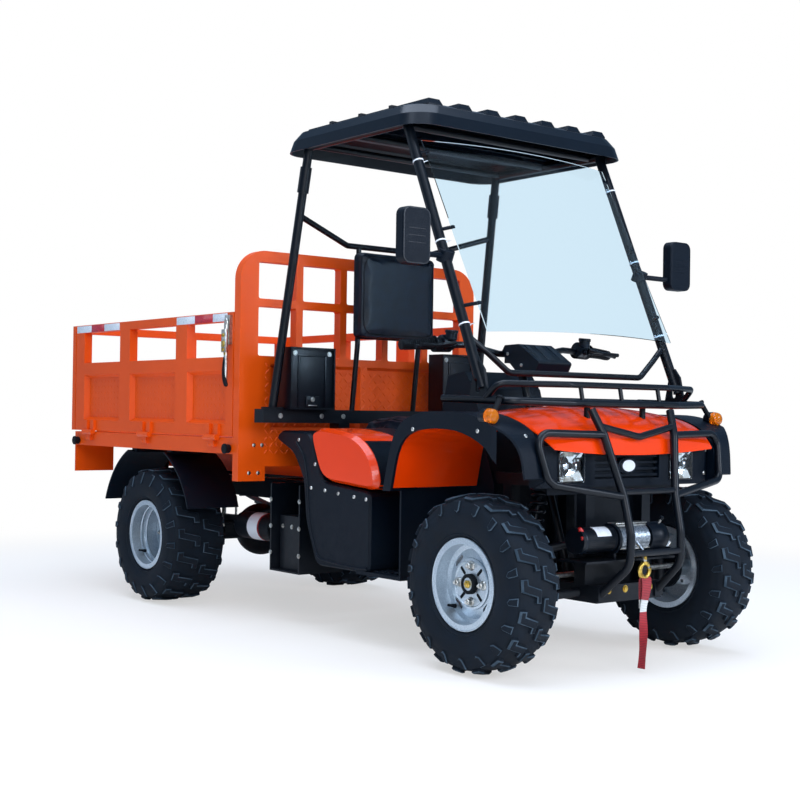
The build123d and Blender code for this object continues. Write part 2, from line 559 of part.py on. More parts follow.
# Hook at the end of the winch cable, with its short line and pull strap
HOOK_Y = -38.0
HOOK_X = ahead(285)
HOOK_RING_R = 21.0
HOOK_WIRE_R = 6.5
hook = rod((WINCH_AT[0] + 30, HOOK_Y, WINCH_AT[1] - 6), (HOOK_X, HOOK_Y, 372), 4)
hook += rod((HOOK_X, HOOK_Y, 376), (HOOK_X, HOOK_Y, 342), 7)
ring_at = (HOOK_X, HOOK_Y, 318.0)
hook_ring = Pos(*ring_at) * Rot(0, 90, 0) * Torus(HOOK_RING_R, HOOK_WIRE_R)
hook_ring -= Pos(HOOK_X, HOOK_Y + 20, ring_at[2] + 10) * Rot(40, 0, 0) * Box(30, 16, 9)
hook += hook_ring
NODES["winch_hook"] = hook - NODES["winch"] - NODES["bumper"]
STRAP_W = 26.0
STRAP_LOW_Z = 14.0
strap = box((HOOK_X - 5, HOOK_X + 5), (HOOK_Y - STRAP_W / 2 - 4, HOOK_Y + STRAP_W / 2 - 4),
            (STRAP_LOW_Z, ring_at[2] - HOOK_RING_R))
NODES["hook_strap"] = strap - Pos(*ring_at) * Rot(0, 90, 0) * Torus(HOOK_RING_R, HOOK_WIRE_R + SEAT_GAP)

# Front cowl: a crowned skin from the column to the nose.
# Each row: X from the front axle, half width, edge Z, crown Z.
COWL_SECTIONS = ((-300, 398, 757, 800), (-100, 398, 792, 822), (70, 398, 778, 812), (205, 372, 704, 724))
COWL_LIP = (216, 366, 694, 676)     # the front lip dips in the middle: same columns
COWL_T = 5.0
crown_faces = []


def offset_arc(arc, drop):
    """The same arc, run the other way, lowered by a wall's thickness."""
    low = [point - Vector(0, 0, drop) for point in (arc @ 1, arc @ 0.5, arc @ 0)]
    return ThreePointArc(*low)


for dx, half_w, edge_z, crown_z in COWL_SECTIONS:
    x = ahead(dx)
    top = ThreePointArc((x, -half_w, edge_z), (x, 0, crown_z), (x, half_w, edge_z))
    under = ThreePointArc((x, half_w, edge_z - COWL_T), (x, 0, crown_z - COWL_T),
                          (x, -half_w, edge_z - COWL_T))
    crown_faces.append(make_face([top, Line(top @ 1, under @ 0), under, Line(under @ 1, top @ 0)]))
cowl = loft(crown_faces)
lip_x = ahead(COWL_LIP[0])
lip_top = ThreePointArc((lip_x, -COWL_LIP[1], COWL_LIP[2]), (lip_x, 0, COWL_LIP[3]),
                        (lip_x, COWL_LIP[1], COWL_LIP[2]))
lip_under = offset_arc(lip_top, COWL_T)
cowl += loft([crown_faces[-1], make_face([lip_top, Line(lip_top @ 1, lip_under @ 0), lip_under,
                                          Line(lip_under @ 1, lip_top @ 0)])], ruled=True)
cowl -= rod(column_foot, column_top, COLUMN_R + 22)
NODES["front_cowl"] = cowl - RACK

# Front fenders: a black sheet that follows the wheel arch, with a flared skirt
FENDER_OUT = [(-392, 540), (-352, 700), (-305, 766), (-205, 800), (0, 800), (110, 770), (168, 736),
              (198, 684), (208, 604)]
ARCH_IN = [(158, 588), (146, 640), (96, 700), (-30, 746), (-215, 746), (-312, 700), (-352, 540)]
FENDER_T = 6.0
SKIRT_Y = (532.0, 542.0)
FENDER_IN_Y = COWL_SECTIONS[0][1] + 4.0


def inset(points, depth):
    """The same open outline lowered and drawn in by a wall's thickness."""
    middle = (-40, 400)
    moved = []
    for x, z in points:
        away = math.hypot(x - middle[0], z - middle[1])
        moved.append((x - (x - middle[0]) * depth / away, z - (z - middle[1]) * depth / away))
    return moved


fender_line = eased(FENDER_OUT, 70)
sheet = fender_line + list(reversed(inset(fender_line, FENDER_T)))
skirt = fender_line + eased(ARCH_IN, 80)
fender = plate([(ahead(x), z) for x, z in sheet], FENDER_IN_Y, SKIRT_Y[1])
fender += plate([(ahead(x), z) for x, z in skirt], SKIRT_Y[0], SKIRT_Y[1])
corner_cut = Pos(ahead(208), SKIRT_Y[1], 680) * Rot(0, 0, 52) * Box(100, 400, 400)
fender -= corner_cut
NODES["front_fenders"] = pair(fender - RACK - NODES["bumper"])

# Arch liners: orange inner skins behind the front wheels
LINER_OUT = [(-364, 552), (-330, 700), (-300, 728), (-232, 748)]
liner_line = eased(LINER_OUT, 60)
liner = plate([(ahead(x), z) for x, z in liner_line + list(reversed(inset(liner_line, FENDER_T)))],
              RAIL_Y + RAIL_W + 12, SKIRT_Y[0])
NODES["arch_liners"] = pair(liner)

# Fascia with its grille bars, and the lamps in it
FASCIA_X = (FRAME_POST_X + RAIL_W, ahead(176))
FASCIA_Z = (572.0, 698.0)
FASCIA_HALF_W = COWL_SECTIONS[0][1]
LAMP_Y = 255.0
LAMP_HALF_W = 58.0
LAMP_Z = (586.0, 686.0)
GRILLE_BARS = 4
fascia = box(FASCIA_X, (-FASCIA_HALF_W, FASCIA_HALF_W), FASCIA_Z)
fascia = fillet(fascia.edges().filter_by(Axis.Z).group_by(Axis.X)[-1], 20)
for s in (-1, 1):
    fascia -= box((FASCIA_X[1] - 30, FASCIA_X[1] + 5),
                  (s * LAMP_Y - LAMP_HALF_W, s * LAMP_Y + LAMP_HALF_W), LAMP_Z)
grille_z = (LAMP_Z[0] + 10, LAMP_Z[1] - 10)
fascia -= box((FASCIA_X[1] - 20, FASCIA_X[1] + 5), (-150, 150), grille_z)
for k in range(GRILLE_BARS):
    z = grille_z[0] + (k + 0.5) * (grille_z[1] - grille_z[0]) / GRILLE_BARS
    fascia += box((FASCIA_X[1] - 20, FASCIA_X[1] - 6), (-150, 150), (z - 4, z + 4))
fascia += Pos(FASCIA_X[1] - 8, 0, sum(grille_z) / 2) * extrude(Plane.YZ * Ellipse(46, 26), 10, both=True)
NODES["front_fascia"] = fascia
lamp = box((FASCIA_X[1] - 30 + SEAT_GAP, FASCIA_X[1] + 8),
           (LAMP_Y - LAMP_HALF_W + SEAT_GAP, LAMP_Y + LAMP_HALF_W - SEAT_GAP),
           (LAMP_Z[0] + SEAT_GAP, LAMP_Z[1] - SEAT_GAP))
lamp = fillet(lamp.edges().group_by(Axis.X)[-1], 9)
NODES["headlamps"] = pair(lamp)

# Turn signals on stalks at the front corners of the fenders
signal_at = (ahead(96), 524.0, 786.0)
signal = Pos(*signal_at) * Rot(0, 90, 0) * Cylinder(25, 62)
signal = fillet(signal.edges().filter_by(GeomType.CIRCLE), 11)
signal += rod((signal_at[0], signal_at[1] - 6, signal_at[2] - 10),
              (ahead(84), RACK_HALF_W - 4, RACK_Z - 8), 7)
signal = max((signal - RACK - fender).solids(), key=lambda solid: solid.volume)
NODES["turn_signals"] = pair(signal)

# Centre cover: the dark skin under the seat and up to the bar
COVER_HALF_W = RAIL_Y + RAIL_W + 9
COVER_T = 5.0
SEAT_BASE_Z = 640.0
cover_outline = [(WAIST_X[1] + 6, 275), (WAIST_X[1] + 6, SEAT_BASE_Z), (565, SEAT_BASE_Z), (622, 782),
                 (655, 925),
                 (742, 940), (790, 880), (868, 640), (900, 560), (900, 275)]
cover = plate(cover_outline, -COVER_HALF_W, COVER_HALF_W)
hollow = [(WAIST_X[1], 260), (WAIST_X[1], SEAT_BASE_Z - COVER_T), (568, SEAT_BASE_Z - COVER_T), (627, 780),
          (659, 920),
          (739, 935), (785, 878), (863, 640), (895, 560), (895, 260)]
cover -= plate(hollow, -COVER_HALF_W + COVER_T, COVER_HALF_W - COVER_T)
NODES["centre_cover"] = cover - FRAME

# Seat
SEAT_HALF_W = 150.0
seat_base = SEAT_BASE_Z + SEAT_GAP
seat_outline = [(150, seat_base), (135, 712), (172, 762), (300, 777), (470, 757), (566, 770), (613, 782),
                (560, seat_base)]
seat = plate(seat_outline, -SEAT_HALF_W, SEAT_HALF_W)
seat = fillet(seat.edges().filter_by(Axis.Y).group_by(Axis.Z)[-1], 12)
NODES["seat"] = seat - cover

# Side fairings: orange covers over the footwells, and the black footwells under them
FAIRING_Y = (COVER_HALF_W + SEAT_GAP, 470.0)
SKIRT_OUT_Y = 462.0
PANEL_T = 6.0
FAIRING_EDGE = 20.0         # rounding of the moulded edges
WELL_EDGE = 10.0
# Columns: X, Z
FAIRING_OUTLINE = ((258, 716), (318, 739), (520, 716), (600, 668), (644, 600), (654, 528), (334, 550))
WELL_OUTLINE = ((32, 690), (58, 723), (252, 717), (329, 546), (610, 522), (610, 246), (300, 246),
                (232, 400),
                (214, 548), (150, 640))


def hollow_panel(outline, y_in, y_out, wall, edge_r):
    """A moulded cover: solid outside and round its edge, open towards the middle."""
    whole = plate(outline, y_in, y_out)
    whole = chamfer(whole.faces().sort_by(Axis.Y)[-1].edges(), edge_r, edge_r * 0.6)
    face = make_face(Polyline(*[(x, 0, z) for x, z in outline], close=True))
    core = extrude(offset(face, -wall - edge_r * 0.6), y_out - wall - y_in + 5, dir=(0, 1, 0))
    return whole - Pos(0, y_in - 5, 0) * core


fairing = hollow_panel(eased(FAIRING_OUTLINE, 60, closed=True), FAIRING_Y[0], FAIRING_Y[1], PANEL_T,
                       FAIRING_EDGE)
FOOT_Z = (240.0, 252.0)
FOOT_X = (540.0, 782.0)
well = hollow_panel(eased(WELL_OUTLINE, 30, closed=True), REAR_RAIL_Y + REAR_RAIL_W + 10, SKIRT_OUT_Y,
                    PANEL_T, WELL_EDGE)
well += box(FOOT_X, (COVER_HALF_W + SEAT_GAP, SKIRT_OUT_Y), FOOT_Z)
well += box((FOOT_X[1] - 8, FOOT_X[1]), (COVER_HALF_W + SEAT_GAP, SKIRT_OUT_Y), (FOOT_Z[1], 545))
for k in range(5):
    x = FOOT_X[1] - 152 + 28 * k
    well += box((x, x + 10), (COVER_HALF_W + 40, SKIRT_OUT_Y - 30), (FOOT_Z[1], FOOT_Z[1] + 5))
NODES["footwells"] = pair(well - fairing)
NODES["side_fairings"] = pair(fairing)

# Cab beam on the frame, with the boxes beside the backrest
beam = box(BEAM_X, (-BEAM_HALF_W, BEAM_HALF_W), BEAM_Z)
BOX_Y = (265.0, 465.0)
BOX_TOP = 1030.0
BOX_X = (BEAM_X[0] + 5, BEAM_X[1] + 35)
for s in (-1, 1):
    locker = box(BOX_X, (s * BOX_Y[0], s * BOX_Y[1]), (BEAM_Z[1], BOX_TOP))
    locker -= box((BOX_X[0] + 6, BOX_X[1] + 5), (s * (BOX_Y[0] + 6), s * (BOX_Y[1] - 6)),
                  (BEAM_Z[1] + 6, BOX_TOP - 6))
    middle = s * sum(BOX_Y) / 2
    locker += box((BOX_X[0], BOX_X[1] - 12), (middle - 4, middle + 4), (BEAM_Z[1], BOX_TOP))
    beam += locker
NODES["cab_beam"] = beam - FRAME

# Cab frame: pillars, roof rails and cross tubes, each a straight tube
TUBE_GAP = 0.2
RAIL_Z = ROOF_LIP_Z + 19.0
PILLAR_FOOT = (ahead(-8), PILLAR_Y, 872.0)
PILLAR_HEAD = (ahead(-396), PILLAR_Y, RAIL_Z)
BACK_FOOT = (ahead(-1113), REAR_PILLAR_Y, BEAM_Z[1])
BACK_HEAD = (ahead(-960), PILLAR_Y, RAIL_Z)
SLEEVE_Z = (1586.0, 1678.0)
front_pillar = rod(PILLAR_FOOT, PILLAR_HEAD, PILLAR_R)
foot_outline = [(ahead(-62), RACK_Z + 4), (ahead(-44), 934), (ahead(-22), 960), (ahead(2), 930),
                (ahead(22), RACK_Z + 4)]
front_pillar += plate(foot_outline, PILLAR_Y - 5, PILLAR_Y + 5)
front_pillar -= Pos(ahead(-24), PILLAR_Y, 880) * extrude(Plane.XZ * SlotOverall(46, 20, rotation=90), 40,
                                                         both=True)
front_pillar -= RACK
roof_rail = rod((PILLAR_HEAD[0] + 6, PILLAR_Y, RAIL_Z), (BACK_HEAD[0] - 6, BACK_HEAD[1], RAIL_Z), PILLAR_R)
back_pillar = rod(BACK_FOOT, BACK_HEAD, PILLAR_R - 1)
back_pillar += rod(on_line(BACK_FOOT, BACK_HEAD, SLEEVE_Z[0]), on_line(BACK_FOOT, BACK_HEAD, SLEEVE_Z[1]),
                   PILLAR_R + 4)
back_pillar += box((BACK_FOOT[0] - 30, BACK_FOOT[0] + 30), (REAR_PILLAR_Y - 30, REAR_PILLAR_Y + 30),
                   (BEAM_Z[1], BEAM_Z[1] + 8))
front_pillar -= roof_rail
back_pillar -= roof_rail + beam
NODES["cab_pillars"] = pair(front_pillar + back_pillar)
cross = None
for x in (ahead(-440), ahead(-690), ahead(-935)):
    bar = rod((x, -PILLAR_Y, RAIL_Z), (x, PILLAR_Y, RAIL_Z), 12)
    cross = bar if cross is None else cross + bar
half_bar = [on_line(PILLAR_FOOT, PILLAR_HEAD, 1035), (ahead(-62), PILLAR_Y - 70, 985),
            (ahead(-50), PILLAR_Y - 150, 925)]
lower_bar = tube(half_bar + [(x, -y, z) for x, y, z in reversed(half_bar)], 10, 40)
rails = Compound(children=[*pair(roof_rail).solids()])
NODES["roof_rails"] = Compound(children=[*rails.solids(), *(cross - rails).solids()])
NODES["dash_bar"] = lower_bar - NODES["cab_pillars"]

# Roof: a moulded shell with ribs
roof_mid = sum(ROOF_X) / 2
roof_len = ROOF_X[1] - ROOF_X[0]
ROOF_DRAFT = 42.0
RIB_COUNT = 7
RIB_W = 62.0
RIB_DEEP = 20.0             # how far a rib is sunk into the skin


def roof_block(draw_in, drop):
    """The roof's outer skin drawn in by a wall's thickness. Columns: share of the height, inset."""
    slices = []
    for share, inset_by in ((0.0, 0.0), (0.45, 10.0), (0.8, 30.0), (1.0, 78.0)):
        step = draw_in + inset_by
        size = (roof_len - 2 * step, 2 * (ROOF_HALF_W - step))
        plan = RectangleRounded(*size, ROOF_CORNER - draw_in)
        slices.append(Pos(roof_mid, 0, ROOF_LIP_Z + share * (ROOF_H - drop)) * plan)
    return loft(slices, ruled=True)


roof = roof_block(0, 0)
rib_reach = ROOF_HALF_W - 2 * ROOF_DRAFT - RIB_W / 2
for k in range(RIB_COUNT):
    y = rib_reach * (2 * k / (RIB_COUNT - 1) - 1)
    rib = Pos(roof_mid, y, ROOF_TOP_Z - RIB_DEEP) * Box(roof_len - 2 * ROOF_DRAFT, RIB_W,
                                                        2 * (RIB_DEEP + RIB_H))
    roof += chamfer(rib.edges().group_by(Axis.Z)[-1], RIB_H + RIB_DEEP / 2, RIB_H)
roof -= roof_block(ROOF_WALL, ROOF_WALL)
for x in (ahead(-480), ahead(-650), ahead(-820)):
    roof += box((x - 9, x + 9), (-PILLAR_Y - 6, PILLAR_Y + 6),
                (RAIL_Z + PILLAR_R + SEAT_GAP, ROOF_TOP_Z - 2))
NODES["roof"] = roof

# Windscreen and its clips
GLASS_FOOT = (ahead(-18), 1050.0)
GLASS_HEAD = (ahead(-352), 1690.0)
GLASS_HALF_W = 430.0
glass_dir = Vector(GLASS_HEAD[0] - GLASS_FOOT[0], 0, GLASS_HEAD[1] - GLASS_FOOT[1])
glass_plane = Plane(origin=(GLASS_FOOT[0], 0, GLASS_FOOT[1]), x_dir=(0, 1, 0), z_dir=glass_dir)
BOW = 26.0
front_arc = ThreePointArc((-GLASS_HALF_W, 0), (0, -BOW), (GLASS_HALF_W, 0))
back_arc = ThreePointArc((GLASS_HALF_W, GLASS_T), (0, GLASS_T - BOW), (-GLASS_HALF_W, GLASS_T))
glass_face = make_face([front_arc, Line(front_arc @ 1, back_arc @ 0), back_arc,
                        Line(back_arc @ 1, front_arc @ 0)])
glass = extrude(glass_plane * glass_face, glass_dir.length)
NODES["windscreen"] = glass
clips = None
for z in (1130, 1380, 1640):
    on_pillar = Vector(on_line(PILLAR_FOOT, PILLAR_HEAD, z))
    on_glass = on_line((GLASS_FOOT[0], GLASS_HALF_W - 14, GLASS_FOOT[1]),
                       (GLASS_HEAD[0], GLASS_HALF_W - 14, GLASS_HEAD[1]), z + 12)
    clip = rod(on_pillar, on_glass, 6) - NODES["cab_pillars"] - glass
    clip = max(clip.solids(), key=lambda solid: -abs(solid.center().Y - (PILLAR_Y - 30)))
    clips = [clip] if clips is None else clips + [clip]
NODES["screen_clips"] = pair(Compound(children=clips))

# Mirrors on the front pillars
MIRROR_X = ahead(-152)
MIRROR_Y = (566.0, 674.0)
MIRROR_Z = (1252.0, 1428.0)
CLAMP_Z = 1288.0
clamp_at = on_line(PILLAR_FOOT, PILLAR_HEAD, CLAMP_Z)
head = box((MIRROR_X - 22, MIRROR_X + 16), MIRROR_Y, MIRROR_Z)
head = fillet(head.edges().filter_by(Axis.X), 26)
head = fillet(head.edges().group_by(Axis.X)[-1], 8)
mirror_arm = rod((clamp_at[0] - 8, clamp_at[1], CLAMP_Z - 12),
                 (clamp_at[0] + 8, clamp_at[1], CLAMP_Z + 24), PILLAR_R + 9)
mirror_arm += rod((clamp_at[0], clamp_at[1] + 10, CLAMP_Z + 6), (MIRROR_X, MIRROR_Y[0] + 20, CLAMP_Z), 9)
mirrors = (head + mirror_arm) - NODES["cab_pillars"]
NODES["mirrors"] = pair(max(mirrors.solids(), key=lambda solid: solid.volume))

# Backrest: tube frame between the beam and the rear pillars, and the pad on it
PAD_X = (122.0, 178.0)
PAD_HALF_W = 190.0
PAD_Z = (1067.0, 1405.0)
BACK_TUBE_R = 11.0
tube_x = PAD_X[0] - (BACK_TUBE_R - 1) - SEAT_GAP
brace_at = on_line(BACK_FOOT, BACK_HEAD, 1505)
brace = tube([brace_at, (tube_x, 205, 1424), (tube_x, -205, 1424),
              (brace_at[0], -brace_at[1], brace_at[2])], BACK_TUBE_R, 40)
for s in (-1, 1):
    upright = [(tube_x - 30, s * 150, BEAM_Z[1]), (tube_x, s * 150, 1050), (tube_x, s * 150, 1424)]
    brace += tube(upright, BACK_TUBE_R - 1, 60)
brace += rod((tube_x, -150, 1150), (tube_x, 150, 1150), BACK_TUBE_R - 3)
NODES["backrest_frame"] = max((brace - beam - NODES["cab_pillars"]).solids(),
                              key=lambda solid: solid.volume)
pad = box(PAD_X, (-PAD_HALF_W, PAD_HALF_W), PAD_Z)
pad = fillet(pad.edges().filter_by(Axis.X), 30)
NODES["backrest_pad"] = pad

# Battery tray and the bed's power pack, hung from the rear rails
TRAY_X = (-58.0, 130.0)
TRAY_Y = (REAR_RAIL_Y + REAR_RAIL_W, 420.0)
TRAY_Z = (192.0, REAR_RAIL_Z[1])
tray = None
for s in (-1, 1):
    shelf = box(TRAY_X, (s * TRAY_Y[0], s * TRAY_Y[1]), (TRAY_Z[0], TRAY_Z[0] + 6))
    for x in TRAY_X:
        shelf += box((x - 4, x + 4), (s * TRAY_Y[0], s * TRAY_Y[1]), TRAY_Z)
    shelf += box(TRAY_X, (s * TRAY_Y[0], s * (TRAY_Y[0] + 6)), TRAY_Z)
    shelf += box((TRAY_X[0] + 20, TRAY_X[1] - 20), (s * (TRAY_Y[0] + 6), s * (TRAY_Y[1] - 30)),
                 (TRAY_Z[0] + 6, 400))
    tray = shelf.solids() if tray is None else tray + shelf.solids()
NODES["battery_trays"] = Compound(children=[solid - FRAME - well - mirrored(well) for solid in tray])
PACK_AT = (-292.0, 332.0)
PACK_R = 54.0
PACK_X = (-440.0, -190.0)
pack = rod((PACK_X[0], PACK_AT[0], PACK_AT[1]), (PACK_X[1], PACK_AT[0], PACK_AT[1]), PACK_R)
pack += rod((PACK_X[1], PACK_AT[0], PACK_AT[1]), (PACK_X[1] + 46, PACK_AT[0], PACK_AT[1]), PACK_R - 16)
pack += box((PACK_X[1] - 70, PACK_X[1] - 20), (-REAR_RAIL_Y - REAR_RAIL_W, PACK_AT[0]),
            (PACK_AT[1] + 20, REAR_RAIL_Z[1] - 10))
NODES["power_pack"] = pack - FRAME

# Bed floor: sheet, outer rails, cross members, sub-sills on the tilt pins, side hinges
SIDE_HINGE_XS = (ahead(-2441), ahead(-1927), ahead(-1394))
GATE_HINGE_YS = (-400.0, 0.0, 400.0)
KNUCKLE_LEN = 34.0
HINGE_GAP = 0.5
SIDE_AXIS_Y = BED_HALF_W + HINGE_OUT
SIDE_AXIS_Z = BED_FLOOR_Z
GATE_FACE_X = -LENGTH / 2 + HINGE_R + HINGE_OUT - 1
GATE_AXIS_X = -LENGTH / 2 + HINGE_R
SIDE_FRONT_X = BED_FRONT_X - GUARD_T - SWING_GAP
FLOOR_FRONT_X = BED_FRONT_X - GUARD_T
rail_z = (SILL_Z, BED_FLOOR_Z)
floor = box((BED_SIDE_REAR_X, FLOOR_FRONT_X), (-BED_HALF_W, BED_HALF_W), (BED_FLOOR_Z - 4, BED_FLOOR_Z))
for s in (-1, 1):
    floor += box((BED_SIDE_REAR_X, FLOOR_FRONT_X), (s * (BED_HALF_W - 38), s * BED_HALF_W), rail_z)
    floor += box((TILT_X - 68, FLOOR_FRONT_X), (s * SUBSILL_Y, s * (SUBSILL_Y + SUBSILL_W)),
                 (TILT_Z - 30, SILL_Z + 20))
    floor -= rod((TILT_X, s * (SUBSILL_Y - 10), TILT_Z),
                 (TILT_X, s * (SUBSILL_Y + SUBSILL_W + 10), TILT_Z), TILT_PIN_R + RUN_GAP)
floor += box((BED_SIDE_REAR_X, BED_SIDE_REAR_X + 40), (-BED_HALF_W, BED_HALF_W), rail_z)
for x in (-1100.0, -780.0, -460.0, FLOOR_FRONT_X - 40):
    floor += box((x, x + 40), (-BED_HALF_W, BED_HALF_W), (SILL_Z, BED_FLOOR_Z - 2))
for x in SIDE_HINGE_XS:
    for s in (-1, 1):
        floor += rod((x - KNUCKLE_LEN / 2, s * SIDE_AXIS_Y, SIDE_AXIS_Z),
                     (x + KNUCKLE_LEN / 2, s * SIDE_AXIS_Y, SIDE_AXIS_Z), HINGE_R)
        floor += box((x - KNUCKLE_LEN / 2, x + KNUCKLE_LEN / 2), (s * BED_HALF_W, s * SIDE_AXIS_Y),
                     (SIDE_AXIS_Z - 36, SIDE_AXIS_Z))
        floor += rod((x - 1.4 * KNUCKLE_LEN, s * SIDE_AXIS_Y, SIDE_AXIS_Z),
                     (x + 1.4 * KNUCKLE_LEN, s * SIDE_AXIS_Y, SIDE_AXIS_Z), HINGE_PIN_R)
for y in GATE_HINGE_YS:
    floor += rod((GATE_AXIS_X, y - KNUCKLE_LEN / 2, SIDE_AXIS_Z),
                 (GATE_AXIS_X, y + KNUCKLE_LEN / 2, SIDE_AXIS_Z), HINGE_R)
    floor += box((GATE_AXIS_X, BED_SIDE_REAR_X), (y - KNUCKLE_LEN / 2, y + KNUCKLE_LEN / 2),
                 (SIDE_AXIS_Z - 36, SIDE_AXIS_Z - 4))
    floor += rod((GATE_AXIS_X, y - 1.4 * KNUCKLE_LEN, SIDE_AXIS_Z),
                 (GATE_AXIS_X, y + 1.4 * KNUCKLE_LEN, SIDE_AXIS_Z), HINGE_PIN_R)
ROPE_HOOK_XS = (ahead(-2560), ahead(-1282))
for x in ROPE_HOOK_XS:
    for s in (-1, 1):
        floor += rod((x, s * BED_HALF_W, 650), (x, s * (BED_HALF_W + 20), 650), 13)
rear_plate_x = (BED_SIDE_REAR_X, BED_SIDE_REAR_X + 8)
for s in (-1, 1):
    floor += box(rear_plate_x, (s * 392, s * BED_HALF_W), (512, SILL_Z))
NODES["bed_floor"] = floor

# Tail lamps on the plates under the back of the bed
tail = box((rear_plate_x[0] - 30, rear_plate_x[0]), (410, 560), (528, 596))
tail = fillet(tail.edges().filter_by(Axis.X), 8)
NODES["tail_lamps"] = pair(tail)

# Front guard of the bed: a rounded frame with bars above a recessed panel
GUARD_POST_W = 80.0
GUARD_CORNER = 110.0
GUARD_BAR_Z = 1200.0
GUARD_BAR_H = 30.0
GUARD_VERTICALS = (-312.0, -104.0, 104.0, 312.0)
guard_x = (FLOOR_FRONT_X, BED_FRONT_X)
guard = box(guard_x, (-BED_HALF_W, BED_HALF_W), (GUARD_FOOT_Z, GUARD_TOP_Z))
guard = fillet(guard.edges().filter_by(Axis.X).group_by(Axis.Z)[-1], GUARD_CORNER)
edges_y = [y for v in GUARD_VERTICALS for y in (v - 15, v + 15)]
edges_y = [-BED_HALF_W + GUARD_POST_W, *edges_y, BED_HALF_W - GUARD_POST_W]
for y0, y1 in zip(edges_y[0::2], edges_y[1::2]):
    for z0, z1 in ((SIDE_MID_Z + 6, GUARD_BAR_Z - GUARD_BAR_H / 2),
                   (GUARD_BAR_Z + GUARD_BAR_H / 2, GUARD_TOP_Z - 42)):
        window = box((guard_x[0] - 5, guard_x[1] + 5), (y0, y1), (z0, z1))
        guard -= fillet(window.edges().filter_by(Axis.X), 8)
guard -= box((guard_x[0] - 5, guard_x[1] + 5), (-BED_HALF_W + 118, BED_HALF_W - 118),
             (GUARD_FOOT_Z - 5, 584))
RECESS_D = 20.0
for y0, y1 in ((-BED_HALF_W + 130, -8), (8, BED_HALF_W - 130)):
    middle = Plane(origin=(guard_x[1], (y0 + y1) / 2, 846), x_dir=(0, 1, 0), z_dir=(-1, 0, 0))
    guard -= extrude(middle * Rectangle(y1 - y0 - 16, 250), RECESS_D, taper=30)
NODES["bed_guard"] = guard


# Drop sides and tailgate: a pressed lower panel, with a top rail on posts above it
def gate_panel(length, posts, depth):
    """A panel along X from 0, outer face at Y = 0, with a pressed bay between each two posts."""
    panel = box((0, length), (0, depth), (PANEL_LOW_Z, SIDE_MID_Z))
    low, high = PANEL_LOW_Z + 46, SIDE_MID_Z - 52
    for (_, x0), (x1, _) in zip(posts, posts[1:]):
        face = Plane(origin=((x0 + x1) / 2, 0, (low + high) / 2), x_dir=(1, 0, 0), z_dir=(0, 1, 0))
        panel -= extrude(face * Rectangle(x1 - x0 - 6, high - low), RECESS_D, taper=35)
    return panel


def gate_rails(length, posts, depth):
    """The posts that stand on such a panel, and the rail that joins them."""
    rails = box((0, length), (0, depth), (SIDE_TOP_Z - TOP_RAIL_H, SIDE_TOP_Z))
    for x0, x1 in posts:
        rails += box((x0, x1), (0, depth), (SIDE_MID_Z, SIDE_TOP_Z))
    return rails


END_POST = 72.0
side_len = SIDE_FRONT_X - BED_SIDE_REAR_X
# Columns: where each upright post starts and ends, as shares of the side's length
POST_SHARES = ((0, 0.060), (0.315, 0.382), (0.675, 0.741), (0.965, 1))
SIDE_POSTS = [(a * side_len, b * side_len) for a, b in POST_SHARES]
gate_len = 2 * BED_HALF_W
GATE_POSTS = [(0, END_POST), (gate_len / 2 - POST_W / 2, gate_len / 2 + POST_W / 2),
              (gate_len - END_POST, gate_len)]
PANEL_LOW_Z = BED_FLOOR_Z + SWING_GAP
side_place = Pos(BED_SIDE_REAR_X, -BED_HALF_W, 0)
side_panel = side_place * gate_panel(side_len, SIDE_POSTS, SIDE_T)
side_rails = side_place * gate_rails(side_len, SIDE_POSTS, SIDE_T)
for x in SIDE_HINGE_XS:
    for end in (-1, 1):
        x0 = x + end * (KNUCKLE_LEN / 2 + HINGE_GAP)
        x1 = x0 + end * KNUCKLE_LEN * 0.8
        side_panel += rod((x0, -SIDE_AXIS_Y, SIDE_AXIS_Z), (x1, -SIDE_AXIS_Y, SIDE_AXIS_Z), HINGE_R)
        side_panel += box((x0, x1), (-BED_HALF_W, -SIDE_AXIS_Y + 2), (SIDE_AXIS_Z + 4, SIDE_AXIS_Z + 52))
        side_panel -= rod((x0 - 60, -SIDE_AXIS_Y, SIDE_AXIS_Z), (x1 + 60, -SIDE_AXIS_Y, SIDE_AXIS_Z),
                          HINGE_PIN_R + RUN_GAP)
NODES["bed_side_right"] = side_panel
NODES["bed_side_left"] = mirrored(side_panel)
NODES["side_rails_right"] = side_rails
NODES["side_rails_left"] = mirrored(side_rails)

gate_place = Pos(GATE_FACE_X, BED_HALF_W, 0) * Rot(0, 0, -90)
gate = gate_place * gate_panel(gate_len, GATE_POSTS, GATE_T)
NODES["gate_rails"] = gate_place * gate_rails(gate_len, GATE_POSTS, GATE_T)
for y in GATE_HINGE_YS:
    for end in (-1, 1):
        y0 = y + end * (KNUCKLE_LEN / 2 + HINGE_GAP)
        y1 = y0 + end * KNUCKLE_LEN * 0.8
        gate += rod((GATE_AXIS_X, y0, SIDE_AXIS_Z), (GATE_AXIS_X, y1, SIDE_AXIS_Z), HINGE_R)
        gate += box((GATE_AXIS_X - 2, GATE_FACE_X), (y0, y1), (SIDE_AXIS_Z + 4, SIDE_AXIS_Z + 52))
        gate -= rod((GATE_AXIS_X, y0 - 60, SIDE_AXIS_Z), (GATE_AXIS_X, y1 + 60, SIDE_AXIS_Z),
                    HINGE_PIN_R + RUN_GAP)
NODES["tailgate"] = gate

# Over-centre latches at the front top corner of each side
latch = box((SIDE_FRONT_X - 44, SIDE_FRONT_X - 8), (-BED_HALF_W - 12, -BED_HALF_W), (1040, 1150))
latch += rod((SIDE_FRONT_X - 26, -BED_HALF_W - 16, 1120), (SIDE_FRONT_X - 20, -BED_HALF_W - 20, 905), 8)
NODES["side_latch_right"] = latch
NODES["side_latch_left"] = mirrored(latch)

